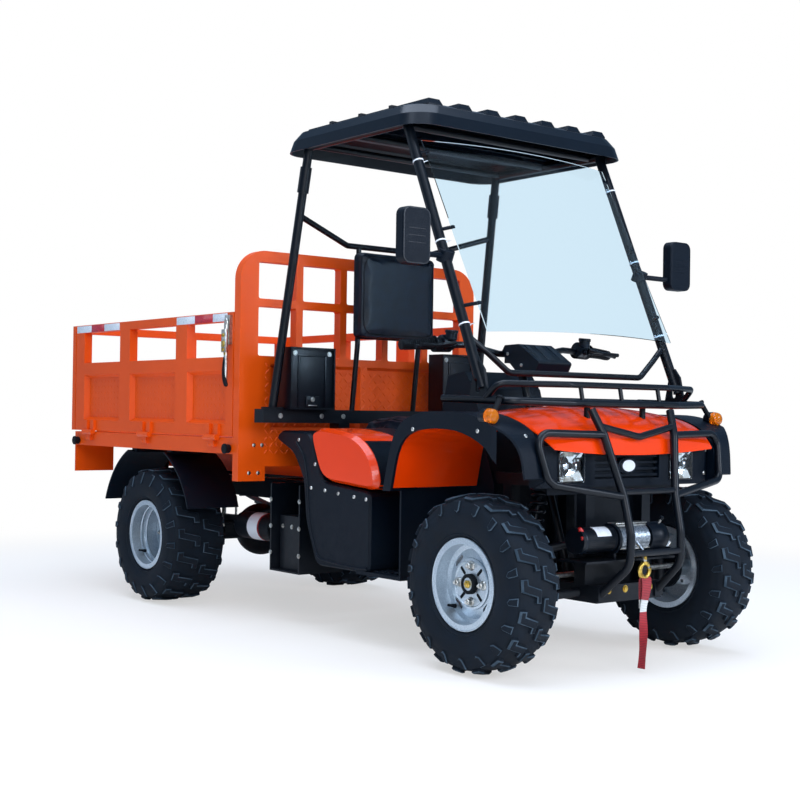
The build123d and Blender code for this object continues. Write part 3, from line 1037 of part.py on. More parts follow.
# Mudguards: curved strips ahead of and behind each rear wheel, under the bed
GUARD_Y = (338.0, 572.0)
STRIP_ANGLES = ((20.0, 66.0), (114.0, 160.0))
strips = None
for a0, a1 in STRIP_ANGLES:
    rim_points = []
    for radius in (MUDGUARD_R, MUDGUARD_R + MUDGUARD_T):
        spots = [math.radians(a) for a in (a0, (a0 + a1) / 2, a1)]
        rim_points.append([(REAR_X + radius * math.cos(a), GUARD_Y[0],
                            AXLE_Z + radius * math.sin(a)) for a in spots])
    inner_arc = ThreePointArc(*rim_points[0])
    outer_arc = ThreePointArc(*reversed(rim_points[1]))
    face = make_face([inner_arc, Line(inner_arc @ 1, outer_arc @ 0), outer_arc,
                      Line(outer_arc @ 1, inner_arc @ 0)])
    strip = extrude(face, GUARD_Y[1] - GUARD_Y[0], dir=(0, 1, 0))
    high = math.radians(a1 if a0 < 90 else a0)
    hang_x = REAR_X + MUDGUARD_R * math.cos(high)
    strip += box((hang_x - 20, hang_x + 20), (GUARD_Y[0] + 60, GUARD_Y[1] - 30),
                 (AXLE_Z + MUDGUARD_R * math.sin(high) - 4, BED_FLOOR_Z - 4))
    strip -= floor
    strips = strip.solids() if strips is None else strips + strip.solids()
NODES["mudguards"] = pair(Compound(children=strips))

os.makedirs("parts", exist_ok=True)
for node_name, shape in NODES.items():
    export_step(shape if isinstance(shape, Compound) else Compound(children=shape.solids()),
                f"parts/{node_name}.step")
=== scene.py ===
# %% [markdown]
# # Farm quad bike with a canopy and a drop-side bed
# The imported model gives every main shape, its place and its joints. This lesson dresses it:
# finishes for each node, padded seat and backrest, tyres with lugs, and the small hardware
# that a buyer would look at. The box of the imported model is measured, and the floor is set
# just under it.

# %% Load the imported model
import math

import bmesh
import bpy
from mathutils import Matrix, Vector
from mathutils.bvhtree import BVHTree


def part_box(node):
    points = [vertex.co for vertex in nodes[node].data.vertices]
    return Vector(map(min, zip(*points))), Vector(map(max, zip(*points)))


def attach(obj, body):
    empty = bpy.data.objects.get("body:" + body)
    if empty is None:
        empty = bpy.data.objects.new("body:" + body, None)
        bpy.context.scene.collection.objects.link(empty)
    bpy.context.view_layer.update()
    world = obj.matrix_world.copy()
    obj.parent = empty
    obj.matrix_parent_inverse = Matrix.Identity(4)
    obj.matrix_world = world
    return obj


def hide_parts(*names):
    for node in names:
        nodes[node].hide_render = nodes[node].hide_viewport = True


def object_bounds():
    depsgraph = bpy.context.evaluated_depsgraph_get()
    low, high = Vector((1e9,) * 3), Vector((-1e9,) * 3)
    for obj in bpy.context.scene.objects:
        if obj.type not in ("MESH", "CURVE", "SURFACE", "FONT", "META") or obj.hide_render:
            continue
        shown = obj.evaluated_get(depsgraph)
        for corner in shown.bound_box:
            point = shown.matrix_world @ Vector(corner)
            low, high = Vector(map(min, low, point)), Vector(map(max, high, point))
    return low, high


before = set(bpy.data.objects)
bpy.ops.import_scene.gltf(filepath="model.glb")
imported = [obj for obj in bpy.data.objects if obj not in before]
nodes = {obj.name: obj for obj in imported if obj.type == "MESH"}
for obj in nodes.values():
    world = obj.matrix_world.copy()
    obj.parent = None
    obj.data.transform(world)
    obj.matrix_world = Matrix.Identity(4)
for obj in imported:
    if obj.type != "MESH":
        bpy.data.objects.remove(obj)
scene = bpy.context.scene
cad_low, cad_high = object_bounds()
print("nodes", len(nodes), "box", [round(v, 3) for v in cad_high - cad_low])

# %% [markdown]
# ## Camera
# The lens and the place come from lining up the wheels, the bed and the pillars with the
# photograph. A camera looks along its own minus Z, so its axes are built from the view
# direction, then turned by the small roll of a hand-held shot.

# %% Camera at the photograph's angle
YAW, PITCH, ROLL = 2.4678, 0.0092, 0.0143
look = Vector((math.cos(YAW) * math.cos(PITCH), math.sin(YAW) * math.cos(PITCH), math.sin(PITCH)))
level = Vector((math.sin(YAW), -math.cos(YAW), 0))
upright = level.cross(look)
right = math.cos(ROLL) * level + math.sin(ROLL) * upright
up = math.cos(ROLL) * upright - math.sin(ROLL) * level
camera = bpy.data.objects.new("camera", bpy.data.cameras.new("camera"))
camera.data.sensor_width = 36.0
camera.data.lens = 61.44
place = Matrix.Translation((4.2847, -3.2703, 0.7940))
camera.matrix_world = place @ Matrix((right, up, -look)).transposed().to_4x4()
scene.collection.objects.link(camera)
scene.camera = camera
print("camera at", [round(v, 3) for v in camera.location])

# %% [markdown]
# ## Helpers for materials
# Colours are written as they look on a screen and turned to linear light once, here. One
# function adds any node, sets its fields and links its inputs. Sizes of patterns are given
# in millimetres: a texture scale is how many features fit in a metre.


# %% Colour, node and material helpers
def srgb(code):
    """A colour such as d9521c as linear red, green, blue and alpha."""
    parts = [int(code[k:k + 2], 16) / 255 for k in (0, 2, 4)]
    return tuple(v / 12.92 if v <= 0.04045 else ((v + 0.055) / 1.055) ** 2.4 for v in parts) + (1.0,)


def feed(tree, node, inputs):
    """Set a node's inputs to plain values, or link them to other nodes."""
    for key, value in inputs.items():
        if isinstance(value, bpy.types.NodeSocket):
            tree.links.new(value, node.inputs[key])
        else:
            node.inputs[key].default_value = value


def add(tree, kind, inputs=None, **fields):
    """Add a node, set its fields, and set or link its inputs."""
    node = tree.nodes.new(kind)
    for field, value in fields.items():
        setattr(node, field, value)
    feed(tree, node, inputs or {})
    return node


def calc(tree, operation, first, second, **fields):
    """The result of one operation on two values."""
    return add(tree, "ShaderNodeMath", {0: first, 1: second}, operation=operation, **fields).outputs[0]


def per_metre(millimetres):
    """The texture scale at which one feature is this large."""
    return 1000.0 / millimetres


def new_material(name):
    """An empty material with its surface shader and Object coordinates."""
    material = bpy.data.materials.new(name)
    material.use_nodes = True
    tree = material.node_tree
    tree.nodes.clear()
    shader = add(tree, "ShaderNodeBsdfPrincipled")
    add(tree, "ShaderNodeOutputMaterial", {"Surface": shader.outputs["BSDF"]})
    place = add(tree, "ShaderNodeTexCoord").outputs["Object"]
    return material, tree, shader, place


print("node helpers ready")


# %% Patterns that drive a shader
def noise(tree, place, millimetres, detail=2.0, roughness=0.5):
    """Cloudy noise with features of this size, from 0 to 1."""
    inputs = {"Vector": place, "Scale": per_metre(millimetres), "Detail": detail, "Roughness": roughness}
    return add(tree, "ShaderNodeTexNoise", inputs).outputs["Fac"]


def voronoi(tree, place, millimetres, output="Distance", **fields):
    """Cells of this size, as the distance from their middle or as another output."""
    inputs = {"Vector": place, "Scale": per_metre(millimetres)}
    return add(tree, "ShaderNodeTexVoronoi", inputs, **fields).outputs[output]


def raised(tree, height, strength, distance=0.001):
    """The normal of a surface that is raised by a 0 to 1 height."""
    inputs = {"Height": height, "Strength": strength, "Distance": distance}
    return add(tree, "ShaderNodeBump", inputs).outputs["Normal"]


def ramp(tree, factor, stops):
    """A colour ramp from (position, colour code) stops."""
    node = add(tree, "ShaderNodeValToRGB", {"Fac": factor})
    for k, (position, code) in enumerate(stops):
        stop = node.color_ramp.elements[k] if k < 2 else node.color_ramp.elements.new(position)
        stop.position = position
        stop.color = srgb(code)
    return node.outputs["Color"]


def span(tree, value, low, high):
    """Stretch a 0 to 1 value to run from low to high."""
    return add(tree, "ShaderNodeMapRange", {"Value": value, "To Min": low, "To Max": high}).outputs["Result"]


def seen_directly(tree):
    """1 for rays from the camera, also those through a clear sheet, and 0 for rays that carry light."""
    path = add(tree, "ShaderNodeLightPath").outputs
    return calc(tree, "MAXIMUM", path["Is Camera Ray"], path["Is Transmission Ray"])


print("pattern helpers ready")

# %% [markdown]
# ## Stage and light
# A large pale floor carries a soft shadow, and fades to plain white away from the machine, so
# that no horizon shows. The world is white to the camera and to see-through rays, while the
# light that falls on the object stays at a plain level. Four large soft lamps give the wide
# highlights of an overcast day.

# %% Floor and world
WHITE = (1, 1, 1, 1)
FLOOR_HALF = 60
FLOOR_BELOW = 0.001
bm = bmesh.new()
bmesh.ops.create_grid(bm, x_segments=1, y_segments=1, size=FLOOR_HALF)
floor_mesh = bpy.data.meshes.new("floor")
bm.to_mesh(floor_mesh)
bm.free()
floor = bpy.data.objects.new("floor", floor_mesh)
floor.location.z = cad_low.z - FLOOR_BELOW
scene.collection.objects.link(floor)
floor_paint, tree, shader, place = new_material("matt_floor_paint")
feed(tree, shader, {"Base Color": srgb("fff8f0"), "Roughness": 0.9})
glow = add(tree, "ShaderNodeEmission", {"Color": WHITE, "Strength": 1.0})
away = add(tree, "ShaderNodeVectorMath", {0: place}, operation="LENGTH").outputs["Value"]
# The floor is plain white from 4.2 m outwards, and a little more than half white near the wheels
fade = {"Value": away, "From Min": 1.9, "From Max": 4.2, "To Min": 0.55}
white_share = add(tree, "ShaderNodeMapRange", fade, interpolation_type="SMOOTHSTEP").outputs["Result"]
part_lit = calc(tree, "MULTIPLY", seen_directly(tree), white_share)
mixed = add(tree, "ShaderNodeMixShader", {0: part_lit, 1: shader.outputs["BSDF"], 2: glow.outputs[0]})
tree.links.new(mixed.outputs[0], tree.nodes["Material Output"].inputs["Surface"])
floor_mesh.materials.append(floor_paint)

world = bpy.data.worlds.new("studio")
scene.world = world
world.use_nodes = True
tree = world.node_tree
tree.nodes.clear()
room = add(tree, "ShaderNodeBackground", {"Color": srgb("a2c8f2"), "Strength": 0.42})
white = add(tree, "ShaderNodeBackground", {"Color": WHITE, "Strength": 1.0})
mixed = add(tree, "ShaderNodeMixShader", {0: seen_directly(tree), 1: room.outputs[0], 2: white.outputs[0]})
add(tree, "ShaderNodeOutputWorld", {"Surface": mixed.outputs[0]})
print("floor at", round(floor.location.z, 4))

# %% Lamps
# Columns: name, place, size, watts, colour
LAMPS = (
    ("sky_panel", (0.5, -0.5, 5.2), 5.0, 350, "dceaff"),
    ("camera_side_panel", (5.6, -3.0, 3.0), 3.0, 190, "f2f6ff"),
    ("front_panel", (5.8, 2.0, 2.4), 2.0, 150, "e2edff"),
    ("rear_side_panel", (-4.0, -4.0, 2.6), 2.5, 18, "f2f6ff"),
)
LAMPS_AIM_AT = Vector((-0.1, 0, 0.6))
for name, spot, size, watts, code in LAMPS:
    lamp = bpy.data.lights.new(name, "AREA")
    lamp.size = size
    lamp.energy = watts
    lamp.color = srgb(code)[:3]
    holder = bpy.data.objects.new(name, lamp)
    holder.location = spot
    holder.rotation_euler = (LAMPS_AIM_AT - Vector(spot)).to_track_quat("-Z", "Y").to_euler()
    scene.collection.objects.link(holder)
scene.view_settings.view_transform = "Standard"
print("lamps", len(LAMPS))

# %% [markdown]
# ## Painted and moulded finishes
# Most of the machine is either sheet and tube with a baked powder coat, or moulded plastic.
# Both are a colour with a faint cloudiness, a fine skin texture, and dust that settles
# towards the ground. One recipe makes them all; its numbers say which one it is.

# %% A recipe for coated and moulded skins
DUST_TOP, DUST_FULL = 0.5, 0.05


def skin(name, code, dust_code, roughness, grain_mm, grain_depth, coat=0.0, cells=False, sheen=0.04, shine=0.5):
    """A coloured skin: cloudy tone, fine grain, scuffs, and dust that thins out towards DUST_TOP metres."""
    material, tree, shader, place = new_material(name)
    cloud = noise(tree, place, 260, 5.0)
    scuff = noise(tree, place, 38, 8.0, 0.7)
    height = add(tree, "ShaderNodeSeparateXYZ", {0: place}).outputs["Z"]
    settle = {"Value": height, "From Min": DUST_TOP, "From Max": DUST_FULL, "To Max": 0.5}
    low = add(tree, "ShaderNodeMapRange", settle).outputs["Result"]
    dust = calc(tree, "MULTIPLY", low, scuff, use_clamp=True)
    cloudy = span(tree, cloud, 1 - 2.5 * sheen, 1 + 2.5 * sheen)
    tone = add(tree, "ShaderNodeHueSaturation", {"Value": cloudy, "Color": srgb(code)}).outputs["Color"]
    tint = add(tree, "ShaderNodeMix", {0: dust, 6: tone, 7: srgb(dust_code)}, data_type="RGBA").outputs[2]
    worn = calc(tree, "ADD", span(tree, scuff, roughness - 0.08, roughness + 0.10), dust, use_clamp=True)
    grain = voronoi(tree, place, grain_mm) if cells else noise(tree, place, grain_mm)
    feed(tree, shader, {"Base Color": tint, "Roughness": worn, "Normal": raised(tree, grain, grain_depth),
                        "Specular IOR Level": shine, "Coat Weight": coat, "Coat Roughness": 0.08})
    return material


# Powder coat over pressed steel: even colour, slight orange peel, soft gloss.
orange_powder_coat = skin("orange_powder_coat", "e65000", "8d5a3a", 0.42, 6, 0.12, coat=0.05, shine=0.3)
# Glossy ABS panels moulded in colour: clear reflections, hardly any texture.
orange_abs = skin("orange_gloss_abs", "ee3e00", "8d5a3a", 0.22, 9, 0.04, coat=0.4, shine=0.35)
# The navy tint of the four black skins below is a painted reflection of the blue sky; these parts are neutral
# black
# Satin black powder coat over tube: grey-blue highlights, tiny pits.
black_powder_coat = skin("black_powder_coat", "02070f", "1c2026", 0.36, 4, 0.10, coat=0.05, sheen=0.08,
                         shine=0.26)
# Polypropylene flares and footwells: spark-eroded grain, broad soft highlight.
black_polypropylene = skin("grained_black_polypropylene", "010b17", "181f27", 0.46, 2.2, 0.35, cells=True,
                           sheen=0.08, shine=0.18)
# Vacuum-formed ABS canopy: smooth satin with a wide sky reflection.
black_abs = skin("satin_black_abs", "020b16", "161d25", 0.34, 3.5, 0.08, coat=0.06, sheen=0.08, shine=0.25)
# Nitrile grips and bellows: dull, slightly dusty.
black_rubber = skin("moulded_black_rubber", "03080f", "1c2026", 0.62, 3, 0.2, sheen=0.08, shine=0.2)
# Cast housings, painted dull.
cast_housing = skin("painted_cast_housing", "1a1d21", "3a352d", 0.55, 5, 0.4, sheen=0.10)
# Red moulded caps and boots.
red_plastic = skin("red_moulded_plastic", "b01512", "6b4a3c", 0.35, 4, 0.08, coat=0.2)
# White enamel on small plates and bands.
white_enamel = skin("white_enamelled_plate", "e9ecef", "b8b4ac", 0.25, 8, 0.03, coat=0.5)
# Nylon cable ties.
white_nylon = skin("white_nylon", "e6e8ea", "b9b4aa", 0.4, 6, 0.05)
# The dark window of a display.
display_glass = skin("dark_display_glass", "0a1420", "20242a", 0.12, 30, 0.01, coat=0.6)
print("skins made")

# %% [markdown]
# ## Metals
# Bare metals on the machine are plated or painted silver. Zinc plate has a cloudy sheen,
# yellow passivate a gold cast, and the rims a silver paint with fine flake. All keep the
# metal setting and vary only in roughness and tint.


# %% Plated and painted metals
def plated(name, code, stain_code, roughness, stain_mm):
    """Bright metal with cloudy staining."""
    material, tree, shader, place = new_material(name)
    stain = noise(tree, place, stain_mm, 6.0)
    feed(tree, shader, {"Base Color": ramp(tree, stain, [(0.35, stain_code), (0.62, code)]),
                        "Roughness": span(tree, stain, roughness + 0.12, roughness - 0.06), "Metallic": 1.0})
    return material


zinc_plate = plated("zinc_plated_steel", "d3d2cc", "9d9a92", 0.28, 14)
yellow_zinc = plated("yellow_passivated_zinc", "d9b659", "9a7d3a", 0.30, 12)
galvanised = plated("galvanised_wire", "b9c0c6", "80868c", 0.34, 6)
vacuum_chrome = plated("vacuum_metallised_reflector", "eef3f6", "dde4e8", 0.08, 60)

# Silver wheel paint: fine flake that sparkles under a thin clear coat.
silver_paint, tree, shader, place = new_material("silver_wheel_paint")
flake = voronoi(tree, place, 2.5, "Color")
shade = add(tree, "ShaderNodeSeparateColor", {0: flake}).outputs[0]
feed(tree, shader, {"Base Color": ramp(tree, shade, [(0.0, "a9b6bf"), (1.0, "c8d2d9")]),
                    "Roughness": span(tree, shade, 0.30, 0.42), "Metallic": 0.75, "Coat Weight": 0.3})
print("metals made")

# %% [markdown]
# ## Lenses and glass
# The screen is a sheet of polycarbonate with a pale blue cast, the lamp lenses are clear,
# amber or red acrylic. Each is a see-through shader on a solid with real thickness, so its
# edges gather colour as they do on the real sheet.


# %% Clear and tinted plastics
def clear(name, code, roughness, ior, ripple_mm=None, solid=0.0):
    """A see-through moulding; solid mixes in a little of its own colour."""
    material, tree, shader, place = new_material(name)
    haze = noise(tree, place, 90, 6.0)
    feed(tree, shader, {"Base Color": srgb(code), "Transmission Weight": 1.0 - solid, "IOR": ior,
                        "Roughness": span(tree, haze, roughness * 0.5, roughness * 1.5)})
    if ripple_mm:
        feed(tree, shader, {"Normal": raised(tree, voronoi(tree, place, ripple_mm), 0.5, 0.002)})
    return material


screen_polycarbonate = clear("clear_polycarbonate_sheet", "d3ebf9", 0.04, 1.15)
lens_clear = clear("clear_acrylic_lens", "f4faff", 0.03, 1.30)
lens_amber = clear("amber_acrylic_lens", "ff8a12", 0.10, 1.40, ripple_mm=9, solid=0.45)
lens_red = clear("red_acrylic_lens", "c4120c", 0.12, 1.40, ripple_mm=8, solid=0.5)

# Silvered glass: a mirror with a faint smear.
mirror_glass, tree, shader, place = new_material("silvered_mirror_glass")
smear = noise(tree, place, 60, 6.0)
feed(tree, shader, {"Base Color": srgb("dfe6ea"), "Metallic": 1.0, "Roughness": span(tree, smear, 0.01, 0.08)})
print("lenses made")

# %% [markdown]
# ## Rubber, vinyl, webbing and tape
# Tyre rubber is dull, with patches of dry mud, and the bevelled top edges of its lugs carry a
# paler rubber, a painted highlight. The seat is grained vinyl with a soft sheen, the strap is
# woven polyester, and the marking tape has a honeycomb under a glossy film.


# %% Tyre rubber, plain and with a painted highlight for the lug edges
def rubber(name, code, dust_code, dusty):
    """Cured rubber: patches of dry mud, and a gritty skin."""
    material, tree, shader, place = new_material(name)
    mud = noise(tree, place, 70, 9.0, 0.65)
    grit = noise(tree, place, 5, 4.0)
    feed(tree, shader, {"Base Color": ramp(tree, mud, [(0.40, code), (1.0 - 0.35 * dusty, dust_code)]),
                        "Roughness": span(tree, mud, 0.62, 0.92), "Specular IOR Level": 0.25,
                        "Normal": raised(tree, grit, 0.3)})
    return material


# The navy tones of the tyre rubber, mud patches included, are a painted reflection of the blue sky on black
# rubber
tyre_rubber = rubber("cured_tyre_rubber", "030d17", "0a1926", 0.4)
# Pale blue-grey rubber on the lugs' bevelled top edges: a painted highlight, with patches of dust
lug_edge_highlight_rubber = rubber("painted_highlight_lug_edge", "22323e", "4c5c68", 0.9)
print("rubbers made")

# %% Seat vinyl, polyester webbing and tape
# Vinyl: pressed pores, and creases that catch the light.
seat_vinyl, tree, shader, place = new_material("grained_seat_vinyl")
pores = voronoi(tree, place, 3.2, feature="SMOOTH_F1")
creases = noise(tree, place, 45, 7.0)
# The navy tones of the vinyl are a painted reflection of the blue sky on black vinyl
feed(tree, shader, {"Base Color": ramp(tree, creases, [(0.3, "030b15"), (0.75, "081727")]),
                    "Roughness": span(tree, creases, 0.36, 0.52), "Specular IOR Level": 0.3,
                    "Normal": raised(tree, calc(tree, "ADD", pores, creases), 0.22)})


def webbing(name, code, dark_code):
    """Woven polyester: ribs across the strap, 2 mm apart, drawn as coarse as the render shows."""
    material, tree, shader, place = new_material(name)
    wave = {"Vector": place, "Scale": per_metre(2.6) / 6.28, "Distortion": 0.4}
    ribs = add(tree, "ShaderNodeTexWave", wave, bands_direction="Z").outputs["Fac"]
    shade = calc(tree, "MULTIPLY", ribs, noise(tree, place, 25, 6.0))
    feed(tree, shader, {"Base Color": ramp(tree, shade, [(0.0, dark_code), (0.6, code)]), "Roughness": 0.8,
                        "Sheen Weight": 0.3, "Normal": raised(tree, ribs, 0.6, 0.0008)})
    return material


red_webbing = webbing("woven_red_polyester", "b81424", "6d0812")
white_webbing = webbing("woven_white_polyester", "e8e8e4", "b9b8b2")


def tape(name, code, cell_code):
    """Marking tape: 5 mm honeycomb under a glossy film."""
    material, tree, shader, place = new_material(name)
    comb = voronoi(tree, place, 5, feature="DISTANCE_TO_EDGE")
    feed(tree, shader, {"Base Color": ramp(tree, comb, [(0.02, cell_code), (0.12, code)]), "Roughness": 0.22,
                        "Coat Weight": 0.5})
    return material


white_tape = tape("white_marking_tape", "eef1f4", "c9d0d6")
red_tape = tape("red_marking_tape", "d21f2e", "9d1420")
print("soft finishes made")

# %% [markdown]
# ## Dress the CAD nodes
# A CAD node whose shape is right keeps it, and only its material is exchanged. The table
# says which finish each node has on the real machine.

# %% Give each node its finish
FINISHES = {
    orange_powder_coat: ["bed_floor", "bed_guard", "bed_side_left", "bed_side_right", "tailgate",
                         "side_rails_left", "side_rails_right", "gate_rails"],
    orange_abs: ["front_cowl", "arch_liners", "side_fairings"],
    black_powder_coat: ["frame", "rear_axle", "leaf_springs", "front_arms", "front_shocks", "knuckle_left",
                        "knuckle_right", "handlebar", "front_rack", "bumper", "cab_beam", "cab_pillars",
                        "roof_rails", "dash_bar", "backrest_frame", "battery_trays", "power_pack", "winch"],
    black_polypropylene: ["front_fenders", "front_fascia", "centre_cover", "footwells", "instrument_pod",
                          "screen_clips", "mirrors", "mudguards"],
    black_abs: ["roof"],
    black_rubber: ["handlebar_controls"],
    cast_housing: ["engine"],
    zinc_plate: ["tie_rod", "side_latch_left", "side_latch_right"],
    yellow_zinc: ["winch_hook"],
    silver_paint: ["rim_front_left", "rim_front_right", "rim_rear_left", "rim_rear_right"],
    tyre_rubber: ["tyre_front_left", "tyre_front_right", "tyre_rear_left", "tyre_rear_right"],
    screen_polycarbonate: ["windscreen"],
    lens_clear: ["headlamps"],
    lens_amber: ["turn_signals"],
    lens_red: ["tail_lamps"],
    seat_vinyl: ["seat", "backrest_pad"],
    red_webbing: ["hook_strap"],
}
for finish, names in FINISHES.items():
    for name in names:
        nodes[name].data.materials.clear()
        nodes[name].data.materials.append(finish)
bare = sorted(set(nodes) - {name for names in FINISHES.values() for name in names})
print("nodes without a finish:", bare)

# %% [markdown]
# ## Helpers for meshes
# Every small piece is drawn into a bmesh with a few strokes: a turned form, a bar along a path,
# a block with eased edges, and a plate cut from an outline. The strokes take millimetres, as a
# maker would write them, and one function turns the drawing into a piece that rides on a body.

# %% Strokes that draw into a bmesh
MM = 0.001
SIDES = (("left", 1), ("right", -1))
# The right and up ways of a plate that looks forward, and of one that looks back
FORWARD, REARWARD = ((0, 1, 0), (0, 0, 1)), ((0, -1, 0), (0, 0, 1))


def bridge(bm, first, second, finish, closed=True):
    """Join two rings of vertices, either of which may be a single point, and return the faces."""
    count = max(len(first), len(second))
    made = []
    for k in range(count if closed else count - 1):
        corners = [first[k % len(first)], first[(k + 1) % len(first)],
                   second[(k + 1) % len(second)], second[k % len(second)]]
        made.append(bm.faces.new(list(dict.fromkeys(corners))))
        made[-1].material_index = finish
    return made


def loft(bm, rings, finish=0, looped=False):
    """Skin a row of rings of points; close its two ends, or join the last ring to the first."""
    rings = [[bm.verts.new(Vector(point) * MM) for point in ring] for ring in rings]
    for first, second in zip(rings, rings[1:]):
        bridge(bm, first, second, finish)
    if looped:
        bridge(bm, rings[-1], rings[0], finish)
        return
    for ring in (rings[0], rings[-1]):
        if len(ring) > 2:
            bm.faces.new(ring).material_index = finish


def circle(origin, axis, radius, steps, start=0.0):
    """Points on a circle about an axis, or the one point where the radius is nothing."""
    turn = Vector(axis).to_track_quat("Z", "Y")
    if radius <= 0:
        return [Vector(origin)]
    angles = [start + 2 * math.pi * k / steps for k in range(steps)]
    return [Vector(origin) + turn @ Vector((radius * math.cos(a), radius * math.sin(a), 0)) for a in angles]


def turned(bm, outline, origin, axis, steps=24, finish=0, start=0.0, ring=False):
    """Turn an outline of (along, radius) points about an axis; a ring's outline is a closed loop."""
    axis = Vector(axis).normalized()
    rings = [circle(Vector(origin) + axis * along, axis, radius, steps, start) for along, radius in outline]
    loft(bm, rings, finish, looped=ring)


def band(bm, start, end, inner, outer, origin, axis, steps, finish=0):
    """A plain ring about an axis, between two places along it and two radii."""
    outline = [(start, inner), (start, outer), (end, outer), (end, inner)]
    turned(bm, outline, origin, axis, steps, finish, ring=True)


def bar(bm, points, radius, sides=8, finish=0):
    """A round bar along a path; radius is one value, or one for each point."""
    points = [Vector(point) for point in points]
    radii = radius if isinstance(radius, (list, tuple)) else [radius] * len(points)
    rings = []
    side = None
    for k, point in enumerate(points):
        along = (points[min(k + 1, len(points) - 1)] - points[max(k - 1, 0)]).normalized()
        side = along.orthogonal() if side is None else side - along * side.dot(along)
        side.normalize()
        across = along.cross(side)
        angles = [2 * math.pi * j / sides for j in range(sides)]
        rings.append([point + radii[k] * (math.cos(a) * side + math.sin(a) * across) for a in angles])
    loft(bm, rings, finish)


def curve_through(points, steps=6):
    """Points on a smooth curve that passes through each given point."""
    points = [Vector(point) for point in points]
    run = [points[0]]
    for k in range(len(points) - 1):
        a, b = points[k], points[k + 1]
        before = points[k - 1] if k else 2 * a - b
        after = points[k + 2] if k + 2 < len(points) else 2 * b - a
        for j in range(1, steps + 1):
            u = j / steps
            run.append(0.5 * (2 * a + (b - before) * u + (2 * before - 5 * a + 4 * b - after) * u ** 2
                              + (3 * a - before - 3 * b + after) * u ** 3))
    return run


def block(bm, low, high, ease=0.0, finish=0):
    """A block between two corners, its edges eased."""
    low, high = Vector(low), Vector(high)
    middle = (low + high) / 2 * MM
    half = [max(abs(v), 0.05) / 2 * MM for v in high - low]
    made = bmesh.ops.create_cube(bm, size=2.0)["verts"]
    faces = {face for vert in made for face in vert.link_faces}
    bmesh.ops.scale(bm, vec=half, verts=made)
    bmesh.ops.translate(bm, vec=middle, verts=made)
    for face in faces:
        face.material_index = finish
    if ease:
        edges = list({edge for vert in made for edge in vert.link_edges})
        bmesh.ops.bevel(bm, geom=edges, offset=ease * MM, segments=2, profile=0.6, affect="EDGES",
                        material=finish)


def rounded(half_w, half_h, corner, steps=5):
    """The outline of a rectangle with round corners."""
    points = []
    for k, (a, b) in enumerate(((1, 1), (-1, 1), (-1, -1), (1, -1))):
        for j in range(steps + 1):
            angle = math.pi / 2 * (k + j / steps)
            points.append((a * (half_w - corner) + corner * math.cos(angle),
                           b * (half_h - corner) + corner * math.sin(angle)))
    return points


def cut_plate(bm, outline, origin, right, up, thick, ease=0.0, finish=0):
    """A plate from an outline of (right, up) points, thick towards right x up, its front edge eased."""
    right, up = Vector(right).normalized(), Vector(up).normalized()
    out = right.cross(up)
    middle = [sum(p[k] for p in outline) / len(outline) for k in (0, 1)]

    def ring(depth, draw_in):
        """The outline at this depth, drawn in towards its middle."""
        points = []
        for a, b in outline:
            reach = max(math.dist((a, b), middle), 0.001)
            share = 1 - draw_in / reach
            points.append(Vector(origin) + right * (middle[0] + (a - middle[0]) * share)
                          + up * (middle[1] + (b - middle[1]) * share) + out * depth)
        return points

    loft(bm, [ring(0, 0), ring(thick - ease, 0)] + ([ring(thick, ease)] if ease else []), finish)


def smooth(mesh, degrees=32):
    """Soft shading that stays crisp at edges sharper than this."""
    mesh.polygons.foreach_set("use_smooth", [True] * len(mesh.polygons))
    mesh.set_sharp_from_angle(angle=math.radians(degrees))


def piece(name, shape, finishes, body, degrees=32):
    """A bmesh or a mesh as an object that rides on a body."""
    if isinstance(shape, bmesh.types.BMesh):
        bmesh.ops.recalc_face_normals(shape, faces=shape.faces)
        mesh = bpy.data.meshes.new(name)
        shape.to_mesh(mesh)
        shape.free()
    else:
        mesh = shape
        mesh.name = name
        mesh.materials.clear()
    for finish in finishes:
        mesh.materials.append(finish)
    smooth(mesh, degrees)
    made = bpy.data.objects.new(name, mesh)
    scene.collection.objects.link(made)
    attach(made, body)
    return made


print("strokes ready")

# %% [markdown]
# ## Where a fastener lands
# A screw is set by casting a ray at the CAD solid, so it sits on the surface that it holds and
# looks the way that the surface looks. The rows of screws are then grown by Geometry Nodes: a
# mesh of bare points, each with an arrow called out, gets one head on each point.

# %% Cast rays at CAD nodes
surfaces = {}


def search_tree(mesh):
    """A tree of a mesh's faces, to cast rays at."""
    return BVHTree.FromPolygons([v.co for v in mesh.vertices], [p.vertices for p in mesh.polygons])


def landing(node, start, direction):
    """Where a ray from start, in millimetres, meets a CAD node, and which way that face looks."""
    if node not in surfaces:
        surfaces[node] = search_tree(nodes[node].data)
    spot, normal, _, _ = surfaces[node].ray_cast(Vector(start) * MM, Vector(direction))
    if spot is None:
        return None
    return spot / MM, normal if normal.dot(Vector(direction)) < 0 else -normal


def landings(node, starts, direction):
    """The landings of several rays, without those that miss."""
    found = [landing(node, start, direction) for start in starts]
    return [row for row in found if row]


print("rays ready")


# %% Trees that grow heads on points
def new_tree(name, **sockets):
    """A Geometry Nodes tree with named inputs."""
    tree = bpy.data.node_groups.new(name, "GeometryNodeTree")
    tree.interface.new_socket("Geometry", in_out="INPUT", socket_type="NodeSocketGeometry")
    for label, kind in sockets.items():
        tree.interface.new_socket(label, in_out="INPUT", socket_type="NodeSocket" + kind)
    tree.interface.new_socket("Geometry", in_out="OUTPUT", socket_type="NodeSocketGeometry")
    return tree, add(tree, "NodeGroupInput").outputs, add(tree, "NodeGroupOutput").inputs["Geometry"]


def named(tree, label, kind):
    """An attribute of the mesh, by its name."""
    return add(tree, "GeometryNodeInputNamedAttribute", {"Name": label}, data_type=kind).outputs[0]


def copies_of(tree, form, points, turn):
    """A copy of a form on every point, turned, as real faces."""
    copies = add(tree, "GeometryNodeInstanceOnPoints", {"Points": points, "Instance": form, "Rotation": turn})
    return add(tree, "GeometryNodeRealizeInstances", {"Geometry": copies.outputs[0]}).outputs[0]


